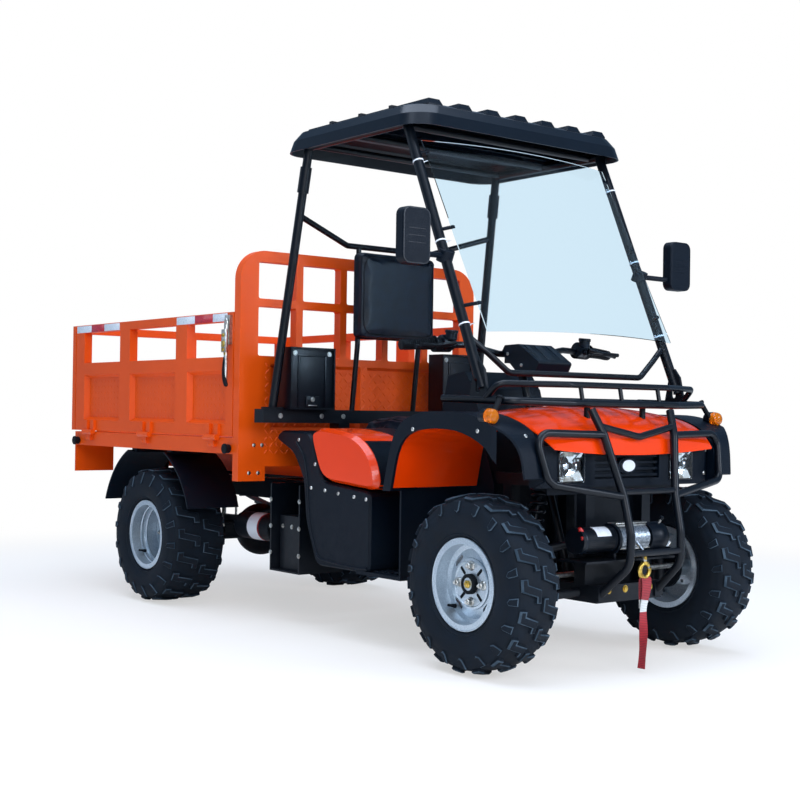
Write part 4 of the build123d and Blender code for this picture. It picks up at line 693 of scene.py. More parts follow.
def painted(tree, shape, finish, chosen=True):
    """The shape with a finish on all its faces, or on the chosen ones."""
    inputs = {"Geometry": shape, "Selection": chosen, "Material": finish}
    return add(tree, "GeometryNodeSetMaterial", inputs).outputs[0]


def grow_on_points(tree, given, result, head):
    """Set a head on every point, turned to its arrow, and give it its finish."""
    out = named(tree, "out", "FLOAT_VECTOR")
    aim = add(tree, "FunctionNodeAlignRotationToVector", {"Vector": out}, axis="Z").outputs[0]
    real = copies_of(tree, head, given["Geometry"], aim)
    tree.links.new(painted(tree, real, given["Finish"]), result)
    return tree


def dome_tree():
    """Button heads: a flattened ball."""
    tree, given, result = new_tree("button_heads", Radius="Float", Height="Float", Finish="Material")
    ball = add(tree, "GeometryNodeMeshUVSphere", {"Segments": 12, "Rings": 6, "Radius": given["Radius"]})
    share = calc(tree, "DIVIDE", given["Height"], given["Radius"])
    squat = add(tree, "ShaderNodeCombineXYZ", {"X": 1.0, "Y": 1.0, "Z": share}).outputs[0]
    head = add(tree, "GeometryNodeTransform", {"Geometry": ball.outputs[0], "Scale": squat}).outputs[0]
    return grow_on_points(tree, given, result, head)


def hex_tree():
    """Hexagon heads on a round washer."""
    tree, given, result = new_tree("hexagon_heads", Radius="Float", Height="Float", Finish="Material")
    head = add(tree, "GeometryNodeJoinGeometry")
    # Columns: corners, share of the radius, share of the height
    for corners, wide, tall in ((6, 1.0, 2.0), (20, 1.45, 0.5)):
        size = {"Vertices": corners, "Radius": calc(tree, "MULTIPLY", given["Radius"], wide),
                "Depth": calc(tree, "MULTIPLY", given["Height"], tall)}
        form = add(tree, "GeometryNodeMeshCylinder", size).outputs[0]
        tree.links.new(form, head.inputs[0])
    return grow_on_points(tree, given, result, head.outputs[0])


button_heads = dome_tree()
hexagon_heads = hex_tree()
print("trees", button_heads.name, hexagon_heads.name)


# %% Run a tree and keep the plain mesh
def grown(name, mesh, tree, **settings):
    """Run a node tree on a mesh and return its result as a plain mesh."""
    holder = bpy.data.objects.new(name, mesh)
    scene.collection.objects.link(holder)
    modifier = holder.modifiers.new("grow", "NODES")
    modifier.node_group = tree
    names = {item.name: item.identifier for item in tree.interface.items_tree if item.in_out == "INPUT"}
    for label, value in settings.items():
        modifier[names[label]] = value
    result = bpy.data.meshes.new_from_object(holder.evaluated_get(bpy.context.evaluated_depsgraph_get()))
    holder.modifiers.clear()
    bpy.data.objects.remove(holder)
    # A new mesh starts with an empty first slot, so the finishes are counted from the slot after it
    spare = sum(1 for finish in result.materials if finish is None)
    for polygon in result.polygons:
        polygon.material_index = max(polygon.material_index - spare, 0)
    return result


def point_mesh(name, spots, label, vectors):
    """A mesh of bare points, each with a vector of its own under this label."""
    mesh = bpy.data.meshes.new(name + "_places")
    mesh.from_pydata([spot * MM for spot in spots], [], [])
    held = mesh.attributes.new(label, "FLOAT_VECTOR", "POINT")
    for k, vector in enumerate(vectors):
        held.data[k].vector = vector
    return mesh


def fasten(name, rows, tree, radius, height, finish, body):
    """One piece of like fasteners from (place, out) rows."""
    mesh = point_mesh(name, [spot for spot, _ in rows], "out", [out for _, out in rows])
    heads = grown(name, mesh, tree, Radius=radius * MM, Height=height * MM, Finish=finish)
    piece(name, heads, [finish], body)
    print(name, len(rows), "heads")


print("fastening ready")

# %% [markdown]
# ## Tyres
# A quad tyre is a round carcass with a row of Z-shaped lugs on each side of its middle, set half
# a pitch apart, and smaller lugs that run over the shoulder. The carcass is a turned profile.
# A lug is drawn flat, as an outline of distances across and along the tread, and wrapped on the
# profile. A node tree then repeats one pitch of lugs round the axle. The top edges of the lugs
# carry a paler rubber: a painted highlight for the light that these edges catch.

# %% The carcass profile and how a lug wraps on it
TYRE_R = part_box("tyre_front_left")[1].z / MM / 2
PITCHES = 18


def carcass_profile(half):
    """(out, radius) points from the bead on one side to the middle of the tread."""
    lip = half * 0.775
    return [(lip, 141), (lip + 3, 146), (half - 8, 153), (half - 9, 157), (half - 4, 166), (half - 1, 184),
            (half, 206), (half - 1.5, 222), (half - 3, 224), (half - 4, 232), (half - 9, 246), (half - 18, 256),
            (half - 34, 261), (half * 0.32, 263.5), (0, 264.5)]


def on_crown(profile, across):
    """The place and the outward direction on the tread, this far from its middle along the surface."""
    run = profile[::-1]
    left = across
    for (a, ra), (b, rb) in zip(run, run[1:]):
        length = math.dist((a, ra), (b, rb))
        if left <= length or (b, rb) == run[-1]:
            share = left / length
            return (a + (b - a) * share, ra + (rb - ra) * share), ((ra - rb) / length, (b - a) / length)
        left -= length


def grown_outline(outline, by):
    """The outline moved outwards by a distance, its corners kept sharp."""
    moved = []
    for k, here in enumerate(outline):
        before, after = Vector(outline[k - 1]), Vector(outline[(k + 1) % len(outline)])
        here = Vector(here)
        normals = [Vector((d.y, -d.x)).normalized() for d in (here - before, after - here)]
        middle = (normals[0] + normals[1]).normalized()
        moved.append(here + middle * by / max(middle.dot(normals[0]), 0.4))
    return moved


def wrap_lug(bm, profile, outline, side, height, turn, highlight_mark):
    """Stand a lug on the carcass; its bevelled top edge is marked for the painted highlight."""
    rings = []
    # Columns: height above the carcass, growth of the outline
    for lift, growth in ((-4.0, 3.0), (height - 2.4, 0.8), (height, -2.2)):
        ring = []
        for across, along in grown_outline(outline, growth):
            (out, radius), (out_n, radius_n) = on_crown(profile, max(across, 0.0))
            out, radius = out + out_n * lift, min(radius + radius_n * lift, TYRE_R - 0.4)
            angle = turn + along / TYRE_R
            spot = Vector((math.sin(angle) * radius, side * out, math.cos(angle) * radius))
            ring.append(bm.verts.new(spot * MM))
        rings.append(ring)
    bridge(bm, rings[0], rings[1], 0)
    for face in bridge(bm, rings[1], rings[2], 0):
        face[highlight_mark] = True
    bm.faces.new(rings[2])


print("tyre radius", round(TYRE_R, 1))


# %% A tree that repeats one pitch round the axle
def round_axle_tree():
    """Copies of one pitch about Y, realized, with the marked faces in a second finish."""
    tree, given, result = new_tree("lugs_round_axle", Count="Int", Finish="Material", Edge="Material")
    seats = add(tree, "GeometryNodeMeshLine", {"Count": given["Count"], "Offset": (0.0, 0.0, 0.0)}).outputs[0]
    step = calc(tree, "DIVIDE", 2 * math.pi, given["Count"])
    angle = calc(tree, "MULTIPLY", add(tree, "GeometryNodeInputIndex").outputs[0], step)
    turn = add(tree, "ShaderNodeCombineXYZ", {"Y": angle}).outputs[0]
    plain = painted(tree, copies_of(tree, given["Geometry"], seats, turn), given["Finish"])
    # The marked lug edges get the rubber with the painted highlight
    both = painted(tree, plain, given["Edge"], named(tree, "lug_highlight", "BOOLEAN"))
    tree.links.new(both, result)
    return tree


lugs_round_axle = round_axle_tree()
print("tree", lugs_round_axle.name)

# %% Draw one pitch and the carcass, then make the four tyres
# Columns: across the tread from its middle, as a share of the half width, and along it in millimetres
Z_LUG = ((0.07, -30), (0.25, -30), (0.25, -11), (0.80, 6), (0.80, 42), (0.62, 42), (0.62, 26), (0.07, 9))
SHOULDER_LUG = ((0.90, -40), (1.20, -44), (1.28, -36), (1.20, -22), (0.90, -14))


def make_tyre(corner, half):
    """A tyre about its axle at the origin, as a mesh with two materials."""
    profile = carcass_profile(half)
    bm = bmesh.new()
    # Faces marked here carry the painted highlight of the lug edges
    mark = bm.faces.layers.bool.new("lug_highlight")
    half_pitch = math.pi / PITCHES
    for side, turn in ((-1, 0.0), (1, half_pitch)):
        for outline, height in ((Z_LUG, 11.0), (SHOULDER_LUG, 7.0)):
            flat = [(a * half, side * t) for a, t in outline]
            wrap_lug(bm, profile, flat if side > 0 else flat[::-1], side, height, turn, mark)
    bmesh.ops.recalc_face_normals(bm, faces=bm.faces)
    pitch = bpy.data.meshes.new("pitch")
    bm.to_mesh(pitch)
    bm.free()
    lugs = grown("lugs", pitch, lugs_round_axle, Count=PITCHES, Finish=tyre_rubber, Edge=lug_edge_highlight_rubber)
    bm = bmesh.new()
    bead = [(profile[0][0], 129.0)] + profile
    section = [(-a, r) for a, r in bead] + [(a, r) for a, r in bead[-2::-1]]
    turned(bm, section, (0, 0, 0), (0, 1, 0), 96, ring=True)
    bm.from_mesh(lugs)
    axle = (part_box("tyre_" + corner)[0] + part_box("tyre_" + corner)[1]) / 2
    if axle.y < 0:
        bmesh.ops.rotate(bm, verts=bm.verts, cent=(0, 0, 0), matrix=Matrix.Rotation(math.pi, 3, "Z"))
    bmesh.ops.translate(bm, verts=bm.verts, vec=axle)
    return bm, axle


CORNERS = ("front_left", "front_right", "rear_left", "rear_right")
axles = {}
for corner in CORNERS:
    low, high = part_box("tyre_" + corner)
    shape, axles[corner] = make_tyre(corner, (high.y - low.y) / 2 / MM)
    tyre = piece("tread_" + corner, shape, [tyre_rubber, lug_edge_highlight_rubber], "wheel_" + corner, 40)
    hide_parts("tyre_" + corner)
print("tyres", len(CORNERS), "faces each", len(tyre.data.polygons))

# %% [markdown]
# ## Wheel fittings
# A pressed wheel shows its rolled lip, the steps of its barrel, four flanged nuts with the ends of
# their studs and short slots between them, a black dust cap with the axle nut in it, and a rubber
# valve. They are turned forms on the axle and thin plates on the disc, so one function sets them
# on each corner. The disc's face is found with a ray.

# %% Lips, nuts, slots, caps and valves
STUD_CIRCLE_R, SLOT_CIRCLE_R = 55.0, 53.0
NUT_R = 10.5
VALVE_R, VALVE_ANGLE = 112.0, 3.9
RAY_FROM = 300.0


def wheel_fittings(corner):
    """The lip, steps, nuts, slots, cap and valve of one wheel, as a piece that turns with it."""
    axle = axles[corner] / MM
    side = 1 if axle.y > 0 else -1
    out = Vector((0, side, 0))
    rim = "rim_" + corner
    low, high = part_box(rim)
    face = (high.y if side > 0 else -low.y) / MM
    lip = Vector((axle.x, side * face, axle.z))
    bm = bmesh.new()
    rolls = [[(-12, 133), (-4, 133), (-1, 136), (1.5, 139), (0.5, 141.5), (-3, 142), (-6, 140), (-12, 139)],
             [(-26, 124), (-14, 124), (-11, 127), (-11, 133), (-14, 136), (-26, 130)]]
    if corner.startswith("rear"):
        rolls += [[(at - 10, inner + 6), (at - 2, inner), (at, inner), (at + 2, inner + 3), (at + 2, 128),
                   (at - 10, 128)] for at, inner in ((-42, 118), (-62, 110))]
    for roll in rolls:
        turned(bm, roll, lip, out, 64, ring=True)
    disc = landing(rim, axle + out * RAY_FROM + Vector((STUD_CIRCLE_R * 0.75, 0, STUD_CIRCLE_R * 0.3)), -out)[0]
    hub = Vector((axle.x, disc.y, axle.z))
    turned(bm, [(-2, 80), (1.5, 79), (3.5, 75), (3.5, 71), (0.5, 68), (-2, 68)], hub, out, 48, ring=True)
    for k in range(4):
        angle = math.pi / 2 * k
        stud = hub + Vector((math.cos(angle), 0, math.sin(angle))) * STUD_CIRCLE_R
        turned(bm, [(-3, 15), (1.5, 15), (4, 12.5), (5, 11.5)], stud, out, 20, 1)
        turned(bm, [(3, NUT_R), (15, NUT_R), (17, NUT_R - 2)], stud, out, 6, 1, start=angle)
        turned(bm, [(10, 5.5), (22, 5.5), (23.5, 4)], stud, out, 12, 1)
        way = Vector((math.cos(angle + math.pi / 4), 0, math.sin(angle + math.pi / 4)))
        slot_at = hub + way * SLOT_CIRCLE_R + out * 0.2
        cut_plate(bm, rounded(15, 5, 4.8), slot_at, way, out.cross(way), 0.5, 0.15, 2)
    cap = Vector((axle.x, side * abs(landing(rim, axle + out * RAY_FROM, -out)[0].y), axle.z))
    turned(bm, [(-16, 31), (0, 31), (3, 28.5), (3, 21), (-1, 19), (-1, 0)], cap, out, 32, 2)
    turned(bm, [(-3, 13), (5, 13), (6.5, 11)], cap, out, 6, 3)
    turned(bm, [(0, 7.5), (8, 7.5), (9.5, 5.5), (9.5, 0)], cap, out, 16, 3)
    way = Vector((math.cos(VALVE_ANGLE), 0, math.sin(VALVE_ANGLE)))
    valve = lip + way * VALVE_R - out * 44
    turned(bm, [(0, 7), (10, 6), (22, 4.2), (34, 4.2), (36, 3)], valve, out - way * 0.25, 12, 2)
    finishes = [silver_paint, zinc_plate, black_rubber, yellow_zinc]
    return piece("wheel_fittings_" + corner, bm, finishes, "wheel_" + corner)


for corner in CORNERS:
    fitted = wheel_fittings(corner)
print("fittings on", len(CORNERS), "wheels, faces each", len(fitted.data.polygons))

# %% [markdown]
# ## Padded seat and backrest
# The saddle and the back pad are foam under stretched vinyl. Their CAD solids give the place and
# the size. A slightly smaller copy is remeshed in small voxels, rounded, and blown up by the cloth
# solver with its resting side pinned, so the skin crowns between the edges as a cover does over
# foam. The move of each point is capped, to stay within the solid. Piping is laid afterwards on the
# finished skin, because the remesh would swallow it.

# %% Plump a CAD cushion
VOXEL = 0.006
CLOTH_FRAMES = 20


def evaluated_mesh(holder):
    """The object's mesh with its modifiers applied."""
    return bpy.data.meshes.new_from_object(holder.evaluated_get(bpy.context.evaluated_depsgraph_get()))


def plump(name, node, shrink, cap, pinned, rounding):
    """A crowned copy of a CAD cushion; pinned says which points rest on what carries the cushion."""
    bm = bmesh.new()
    bm.from_mesh(nodes[node].data)
    bmesh.ops.remove_doubles(bm, verts=bm.verts, dist=0.0002)
    mesh = bpy.data.meshes.new(name)
    bm.to_mesh(mesh)
    bm.free()
    holder = bpy.data.objects.new(name, mesh)
    scene.collection.objects.link(holder)
    remesh = holder.modifiers.new("voxels", "REMESH")
    remesh.mode = "VOXEL"
    remesh.voxel_size = VOXEL
    soften = holder.modifiers.new("round", "SMOOTH")
    soften.factor = 0.5
    soften.iterations = rounding
    draw_in = holder.modifiers.new("draw_in", "DISPLACE")
    draw_in.mid_level = 0.0
    draw_in.strength = -shrink * MM
    start = evaluated_mesh(holder)
    holder.modifiers.clear()
    holder.data = start
    first = [v.co.copy() for v in start.vertices]
    held = holder.vertex_groups.new(name="held")
    held.add([k for k, co in enumerate(first) if pinned(co)], 1.0, "REPLACE")
    cloth = holder.modifiers.new("cloth", "CLOTH")
    cloth.settings.use_pressure = True
    cloth.settings.uniform_pressure_force = 4.0
    cloth.settings.vertex_group_mass = "held"
    cloth.settings.effector_weights.gravity = 0.0
    cloth.settings.quality = 6
    cloth.point_cache.frame_end = CLOTH_FRAMES
    for step in range(1, CLOTH_FRAMES + 1):
        scene.frame_set(step)
    swollen = evaluated_mesh(holder)
    holder.modifiers.clear()
    scene.frame_set(1)
    for vert, old, new in zip(start.vertices, first, swollen.vertices):
        move = new.co - old
        vert.co = old + move * min(1.0, cap * MM / max(move.length, 1e-6))
    finer = holder.modifiers.new("finer", "SUBSURF")
    finer.levels = finer.render_levels = 1
    result = evaluated_mesh(holder)
    bpy.data.objects.remove(holder)
    return result


print("plump ready")

# %% Saddle and back pad
seat_low, seat_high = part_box("seat")
pad_low, pad_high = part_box("backrest_pad")
saddle_mesh = plump("saddle", "seat", 5.0, 9.0, lambda co: co.z < seat_low.z + 0.02, 14)
pad_mesh = plump("back_pad", "backrest_pad", 4.0, 8.0, lambda co: co.x < pad_low.x + 0.012, 8)
saddle_skin, pad_skin = search_tree(saddle_mesh), search_tree(pad_mesh)
saddle = piece("saddle", saddle_mesh, [seat_vinyl], "chassis", 60)
back_pad = piece("back_pad", pad_mesh, [seat_vinyl], "chassis", 60)
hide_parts("seat")
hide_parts("backrest_pad")
print("saddle faces", len(saddle.data.polygons), "pad faces", len(back_pad.data.polygons))

# %% Piping on the finished skins
PIPING_R = 2.6
SEAM_STEPS, LOOP_STEPS = 40, 96
# Metres that the piping keeps from the edge: ends and sides of the saddle, then the back pad
SEAM_REAR, SEAM_BOTH_ENDS, SEAM_SIDE, PAD_EDGE = 0.035, 0.075, 0.026, 0.022
# A pad's outline is an ellipse whose sides are pushed out by this power
PAD_SQUARENESS = 0.22
bm = bmesh.new()
for side in (-1, 1):
    line = []
    for k in range(SEAM_STEPS + 1):
        x = seat_low.x + SEAM_REAR + (seat_high.x - seat_low.x - SEAM_BOTH_ENDS) * k / SEAM_STEPS
        above = Vector((x, side * (seat_high.y - SEAM_SIDE), 1.2))
        spot = saddle_skin.ray_cast(above, Vector((0, 0, -1)))[0]
        if spot:
            line.append(spot / MM)
    bar(bm, line, PIPING_R, 8)
half_w = pad_high.y - PAD_EDGE
half_h = (pad_high.z - pad_low.z) / 2 - PAD_EDGE
middle_z = (pad_high.z + pad_low.z) / 2
loop = []
for k in range(LOOP_STEPS):
    angle = 2 * math.pi * k / LOOP_STEPS
    c, s = math.cos(angle), math.sin(angle)
    y = half_w * math.copysign(abs(c) ** PAD_SQUARENESS, c)
    z = middle_z + half_h * math.copysign(abs(s) ** PAD_SQUARENESS, s)
    spot = pad_skin.ray_cast(Vector((pad_high.x + 0.3, y, z)), Vector((-1, 0, 0)))[0]
    if spot:
        loop.append(spot / MM)
bar(bm, loop + loop[:1], PIPING_R, 8)
piece("seat_piping", bm, [black_rubber], "chassis", 60)
print("piping points", len(loop))

# %% [markdown]
# ## Winch strap
# A short pull strap hangs from the hook: woven webbing folded over the hook, sewn to itself under
# a plain white sleeve, and twisted a quarter turn below it. Webbing is flat and keeps its width, so
# it is drawn directly: a thin band whose middle line, width and twist come from a short table.

# %% The strap as one thin band
strap_low, strap_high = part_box("hook_strap")
strap_x = (strap_low.x + strap_high.x) / 2 / MM
strap_y = (strap_low.y + strap_high.y) / 2 / MM
strap_top = strap_high.z / MM
WEB_T = 1.4
SLEEVE = (190.0, 226.0)
# Columns: offset along X, offset along Y, height, half width, twist in degrees
STRAP = ((-6, 2, 200, 15, 0), (-6, 3, 226, 16, 0), (-7, 6, 260, 20, 0), (-6, 7, strap_top - 8, 21, 0),
         (0, 7, strap_top - 1, 21, 0), (6, 7, strap_top - 8, 21, 0), (7, 6, 260, 20, 0), (4, 2, 226, 16, 0),
         (3, -2, 208, 15, 0), (3, -4, 190, 15, 0), (2, -2, 160, 14, 14), (1, 1, 124, 13, 46),
         (0, 1, 84, 13, 80), (0, -2, 50, 13, 86), (0, -6, strap_low.z / MM + 1, 13, 78))
bm = bmesh.new()
rows = []
middle = curve_through([(a, b, c) for a, b, c, _, _ in STRAP], 6)
extra = curve_through([(d, e, 0) for _, _, _, d, e in STRAP], 6)
for k, (spot, more) in enumerate(zip(middle, extra)):
    along = (middle[min(k + 1, len(middle) - 1)] - middle[max(k - 1, 0)]).normalized()
    across = Matrix.Rotation(math.radians(more.y), 3, along) @ Vector((0, 1, 0))
    across = (across - along * across.dot(along)).normalized()
    thick = along.cross(across) * WEB_T / 2
    centre = Vector((strap_x, strap_y, 0)) + spot
    corners = [centre + across * more.x + thick, centre - across * more.x + thick,
               centre - across * more.x - thick, centre + across * more.x - thick]
    rows.append([bm.verts.new(corner * MM) for corner in corners])
for k, (first, second) in enumerate(zip(rows, rows[1:])):
    height = (middle[k].z + middle[k + 1].z) / 2
    bridge(bm, first, second, 1 if SLEEVE[0] < height < SLEEVE[1] else 0)
bm.faces.new(rows[0])
bm.faces.new(rows[-1])
strap = piece("pull_strap", bm, [red_webbing, white_webbing], "chassis", 60)
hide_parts("hook_strap")

# %% [markdown]
# ## Headlamps
# Each lamp is a moulded square with a metallised reflector: four bright dishes run to the corners
# like an X, and dark steps stand between them. The reflector is a small grid whose depth and
# finish follow a rule, which is quicker to draw than four separate dishes. A clear cover with
# eased edges closes the box that the CAD lamp holds.


# %% Reflector, housing and cover of each lamp
def set_up(outline, x, y, z):
    """An outline stood up across the machine, at this X."""
    return [(x, y + a, z + b) for a, b in outline]


LAMP_GRID = 32
lamp_low, lamp_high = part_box("headlamps")
lamp_z = (lamp_low.z + lamp_high.z) / 2 / MM
lamp_half_z = (lamp_high.z - lamp_low.z) / 2 / MM
LAMP_HALF_Y = 57.5
lamp_y = lamp_high.y / MM - LAMP_HALF_Y
lamp_back, lamp_front = lamp_low.x / MM, lamp_high.x / MM


def reflector_depth(u, v):
    """How far behind the cover the reflector lies, and whether this is a dark step."""
    side_step = abs(u) > 0.60 and abs(v) < 0.20 + 0.45 * (abs(u) - 0.60)
    top_step = abs(v) > 0.66 and abs(u) < 0.34 + 0.6 * (abs(v) - 0.66)
    if side_step:
        return 11.0, 2
    if top_step:
        return 12.0, 3
    ridge = abs(abs(u) - abs(v))
    return 29.0 - 13.0 * (u * u + v * v) ** 1.2 + 5.0 * ridge, 1


bm = bmesh.new()
for side in (-1, 1):
    at = side * lamp_y
    # Columns of the shell and the cover: X, how far it is drawn in, corner radius
    shell = [(lamp_back, 0.0, 10), (lamp_front - 7, 0.0, 10), (lamp_front - 5, 2.0, 9),
             (lamp_front - 5, 5.0, 8), (lamp_back + 3, 7.0, 6)]
    cover = [(lamp_front - 4.5, 0.5, 10), (lamp_front - 3, 0.5, 10), (lamp_front - 0.8, 3.0, 9),
             (lamp_front, 7.0, 8)]
    for rows, finish in ((shell, 0), (cover, 4)):
        outlines = [(x, rounded(LAMP_HALF_Y - d, lamp_half_z - d, c)) for x, d, c in rows]
        loft(bm, [set_up(outline, x, at, lamp_z) for x, outline in outlines], finish)
    grid = []
    for i in range(LAMP_GRID + 1):
        row = []
        for j in range(LAMP_GRID + 1):
            u, v = 2 * i / LAMP_GRID - 1, 2 * j / LAMP_GRID - 1
            depth, _ = reflector_depth(u, v)
            spot = Vector((lamp_front - 7 - depth, at + u * (LAMP_HALF_Y - 6), lamp_z + v * (lamp_half_z - 6)))
            row.append(bm.verts.new(spot * MM))
        grid.append(row)
    for i in range(LAMP_GRID):
        for j in range(LAMP_GRID):
            u, v = (2 * i + 1) / LAMP_GRID - 1, (2 * j + 1) / LAMP_GRID - 1
            face = bm.faces.new((grid[i][j], grid[i + 1][j], grid[i + 1][j + 1], grid[i][j + 1]))
            face.material_index = reflector_depth(u, v)[1]
    turned(bm, [(0, 13), (7, 12), (11, 8), (13, 0)], (lamp_front - 38, at, lamp_z), (1, 0, 0), 20, 1)
lamps = piece("headlamp_units", bm, [black_abs, vacuum_chrome, black_abs, zinc_plate, lens_clear], "chassis",
              24)
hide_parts("headlamps")
print("headlamp faces", len(lamps.data.polygons))

# %% [markdown]
# ## Nose and signals
# A plain white oval sits in a dark rim on the grille. The turn signals have a black cup behind the
# amber lens and a rubber stalk. Both are turned or plate forms, set where rays meet the CAD. Thin
# dark fillers close the sides of the nose, and a dark sheet below the grille is painted shade for the shadowed
# gap there.


# %% Oval plate on the grille, signal cups, fillers and a painted-shade sheet
def ellipse(half_w, half_h, steps=48):
    """The outline of an ellipse."""
    angles = [2 * math.pi * k / steps for k in range(steps)]
    return [(half_w * math.cos(a), half_h * math.sin(a)) for a in angles]


boss, _ = landing("front_fascia", (1500, 0, lamp_z), (-1, 0, 0))
bm = bmesh.new()
cut_plate(bm, ellipse(36, 25), boss, *FORWARD, 3.2, 1.6, 0)
cut_plate(bm, ellipse(29, 18.5), boss + Vector((3.0, 0, 0)), *FORWARD, 1.4, 0.7, 1)
piece("grille_oval", bm, [black_abs, white_enamel], "chassis")

signal_low, signal_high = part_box("turn_signals")
SIGNAL_R = 25.0
bm = bmesh.new()
for side in (-1, 1):
    spot = Vector((signal_low.x / MM, side * (signal_high.y / MM - SIGNAL_R), signal_low.z / MM + SIGNAL_R - 1))
    cup = [(0, 0), (0, 15), (2, 21), (8, 24.5), (28, 25), (31, 25), (31, 22), (24, 20), (24, 0)]
    turned(bm, cup, spot, (1, 0, 0), 32, 0)
    lens = [(25, 0), (25, 21), (31, 23.8), (33, 24.6), (36, 23.8), (39, 24.2), (42, 23.2), (45, 23.4),
            (48, 22), (51, 21.8), (54, 19.6), (58, 15), (61, 8), (62, 0)]
    turned(bm, lens, spot, (1, 0, 0), 32, 2)
    bar(bm, [(1259, side * 468, 844), (1268, side * 506, 792), (1270, side * 512, 784)], [9, 8, 8], 12, 1)
    band(bm, -3, 3, 11, 13, (1259, side * 468, 842), (9, side * 38, -52), 16, 1)
signals = piece("turn_signal_units", bm, [black_abs, black_rubber, lens_amber], "chassis")
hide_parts("turn_signals")

bm = bmesh.new()
for side in (-1, 1):
    outline = [(1334, 574), (1381, 592), (1374, 684), (1345, 734), (1334, 730)]
    loft(bm, [[(x, side * y, z) for x, z in outline] for y in (396.5, 403.5)])
# A dark sheet across the gap below the grille: painted shade, where the gap is only shadowed and partly open
block(bm, (1288, -300, 546), (1293, 300, 604), 1.5)
piece("nose_fillers_and_shade_sheet", bm, [black_polypropylene], "chassis")
print("oval at", [round(v) for v in boss])

# %% [markdown]
# ## Screws and bolts
# Bright pan-head screws hold the flares, the fairings and the footwells. Each is aimed by a ray
# from the side or the front, once for the right of the machine and once mirrored for the left.

# %% Rows of screws from the outside
# Columns: X, Z of screws seen on the side panels
FLARE_SCREWS = ((182, 690), (300, 663), (286, 605), (264, 520), (349, 515), (429, 508), (521, 502), (590, 497))
ARCH_SCREWS = ((884, 651), (897, 567), (852, 563))
FENDER_SCREWS = ((862, 640), (934, 742), (1240, 742), (1318, 668))
# Columns: Y, Z of screws seen on the nose
NOSE_SCREWS = ((-377, 607), (-441, 730), (-388, 683), (388, 683), (423, 670), (377, 607), (441, 730))


# Where rays start: beside the machine, and ahead of it
BESIDE, AHEAD = 700, 1500


def from_side(node, side, places):
    """Landings of rays from one side, at (X, Z) places."""
    return landings(node, [(x, side * BESIDE, z) for x, z in places], (0, -side, 0))


def both_sides(node, places):
    """Landings on the right side, and their mirror images on the left."""
    return from_side(node, -1, places) + from_side(node, 1, places)


def from_ahead(node, places, start=AHEAD):
    """Landings of rays that run back, at (Y, Z) places."""
    return landings(node, [(start, y, z) for y, z in places], (-1, 0, 0))


rows = both_sides("footwells", FLARE_SCREWS)
rows += both_sides("arch_liners", ARCH_SCREWS)
for node in ("front_fascia", "front_fenders"):
    rows += from_ahead(node, NOSE_SCREWS)
rows += both_sides("front_fenders", FENDER_SCREWS)
fasten("panel_screws", rows, button_heads, 7.0, 3.2, zinc_plate, "chassis")

# %% Bolts of the frame, the guard and the hinges
rows = from_ahead("frame", [(y, 249) for y in (-96, -20, 96)])
fasten("nose_bolts", rows, hexagon_heads, 8.0, 5.0, yellow_zinc, "chassis")
rows = []
GUARD_BOLTS = ((510, 664), (474, 664), (530, 560), (490, 560))
for side in (-1, 1):
    rows += from_ahead("bed_guard", [(side * y, z) for y, z in GUARD_BOLTS], 300)
fasten("guard_bolts", rows, button_heads, 8.0, 4.0, zinc_plate, "bed")
hinge_xs = [x + d for x in (-1266, -752, -219) for d in (-15, 15)]
rows = both_sides("bed_floor", [(x, 662) for x in hinge_xs])
rows += both_sides("bed_floor", [(x, 640) for x in (-1350, -1010, -560, -150, -110)])
fasten("sill_bolts", rows, button_heads, 7.5, 2.0, orange_powder_coat, "bed")
for name, side in SIDES:
    rows = from_side("bed_side_" + name, side, [(x, 704) for x in hinge_xs])
    fasten("side_hinge_rivets_" + name, rows, button_heads, 6.0, 2.6, orange_powder_coat, "side_" + name)

# %% [markdown]
# ## Tread plate
# The front wall and the side panels are pressed from tread plate, whose short bars lie in two
# directions like a basket weave. A tree sets one low bar on each point. The points come from rays
# on a grid, and only those that meet a face square on get a bar.


# %% A tree for bars, and the bars on the bed
def bar_tree():
    """Low rounded bars, each turned by its own angles."""
    tree, given, result = new_tree("tread_bars", Length="Float", Width="Float", Height="Float",
                                   Finish="Material")
    ball = add(tree, "GeometryNodeMeshUVSphere", {"Segments": 8, "Rings": 4, "Radius": 0.5}).outputs[0]
    size = add(tree, "ShaderNodeCombineXYZ", {"X": given["Length"], "Y": given["Width"], "Z": given["Height"]})
    form = add(tree, "GeometryNodeTransform", {"Geometry": ball, "Scale": size.outputs[0]}).outputs[0]
    real = copies_of(tree, form, given["Geometry"], named(tree, "turn", "FLOAT_VECTOR"))
    tree.links.new(painted(tree, real, given["Finish"]), result)
    return tree


tread_bars = bar_tree()


def set_bars(name, rows, size, finish, body):
    """One piece of bars from (place, out, spin in degrees) rows; size is length, width and height."""
    turns = [out.to_track_quat("Z", "Y").to_matrix() @ Matrix.Rotation(math.radians(spin), 3, "Z")
             for _, out, spin in rows]
    mesh = point_mesh(name, [row[0] for row in rows], "turn", [turn.to_euler() for turn in turns])
    length, width, height = (v * MM for v in size)
    bars = grown(name, mesh, tread_bars, Length=length, Width=width, Height=2 * height, Finish=finish)
    piece(name, bars, [finish], body, 50)
    print(name, len(rows), "bars")


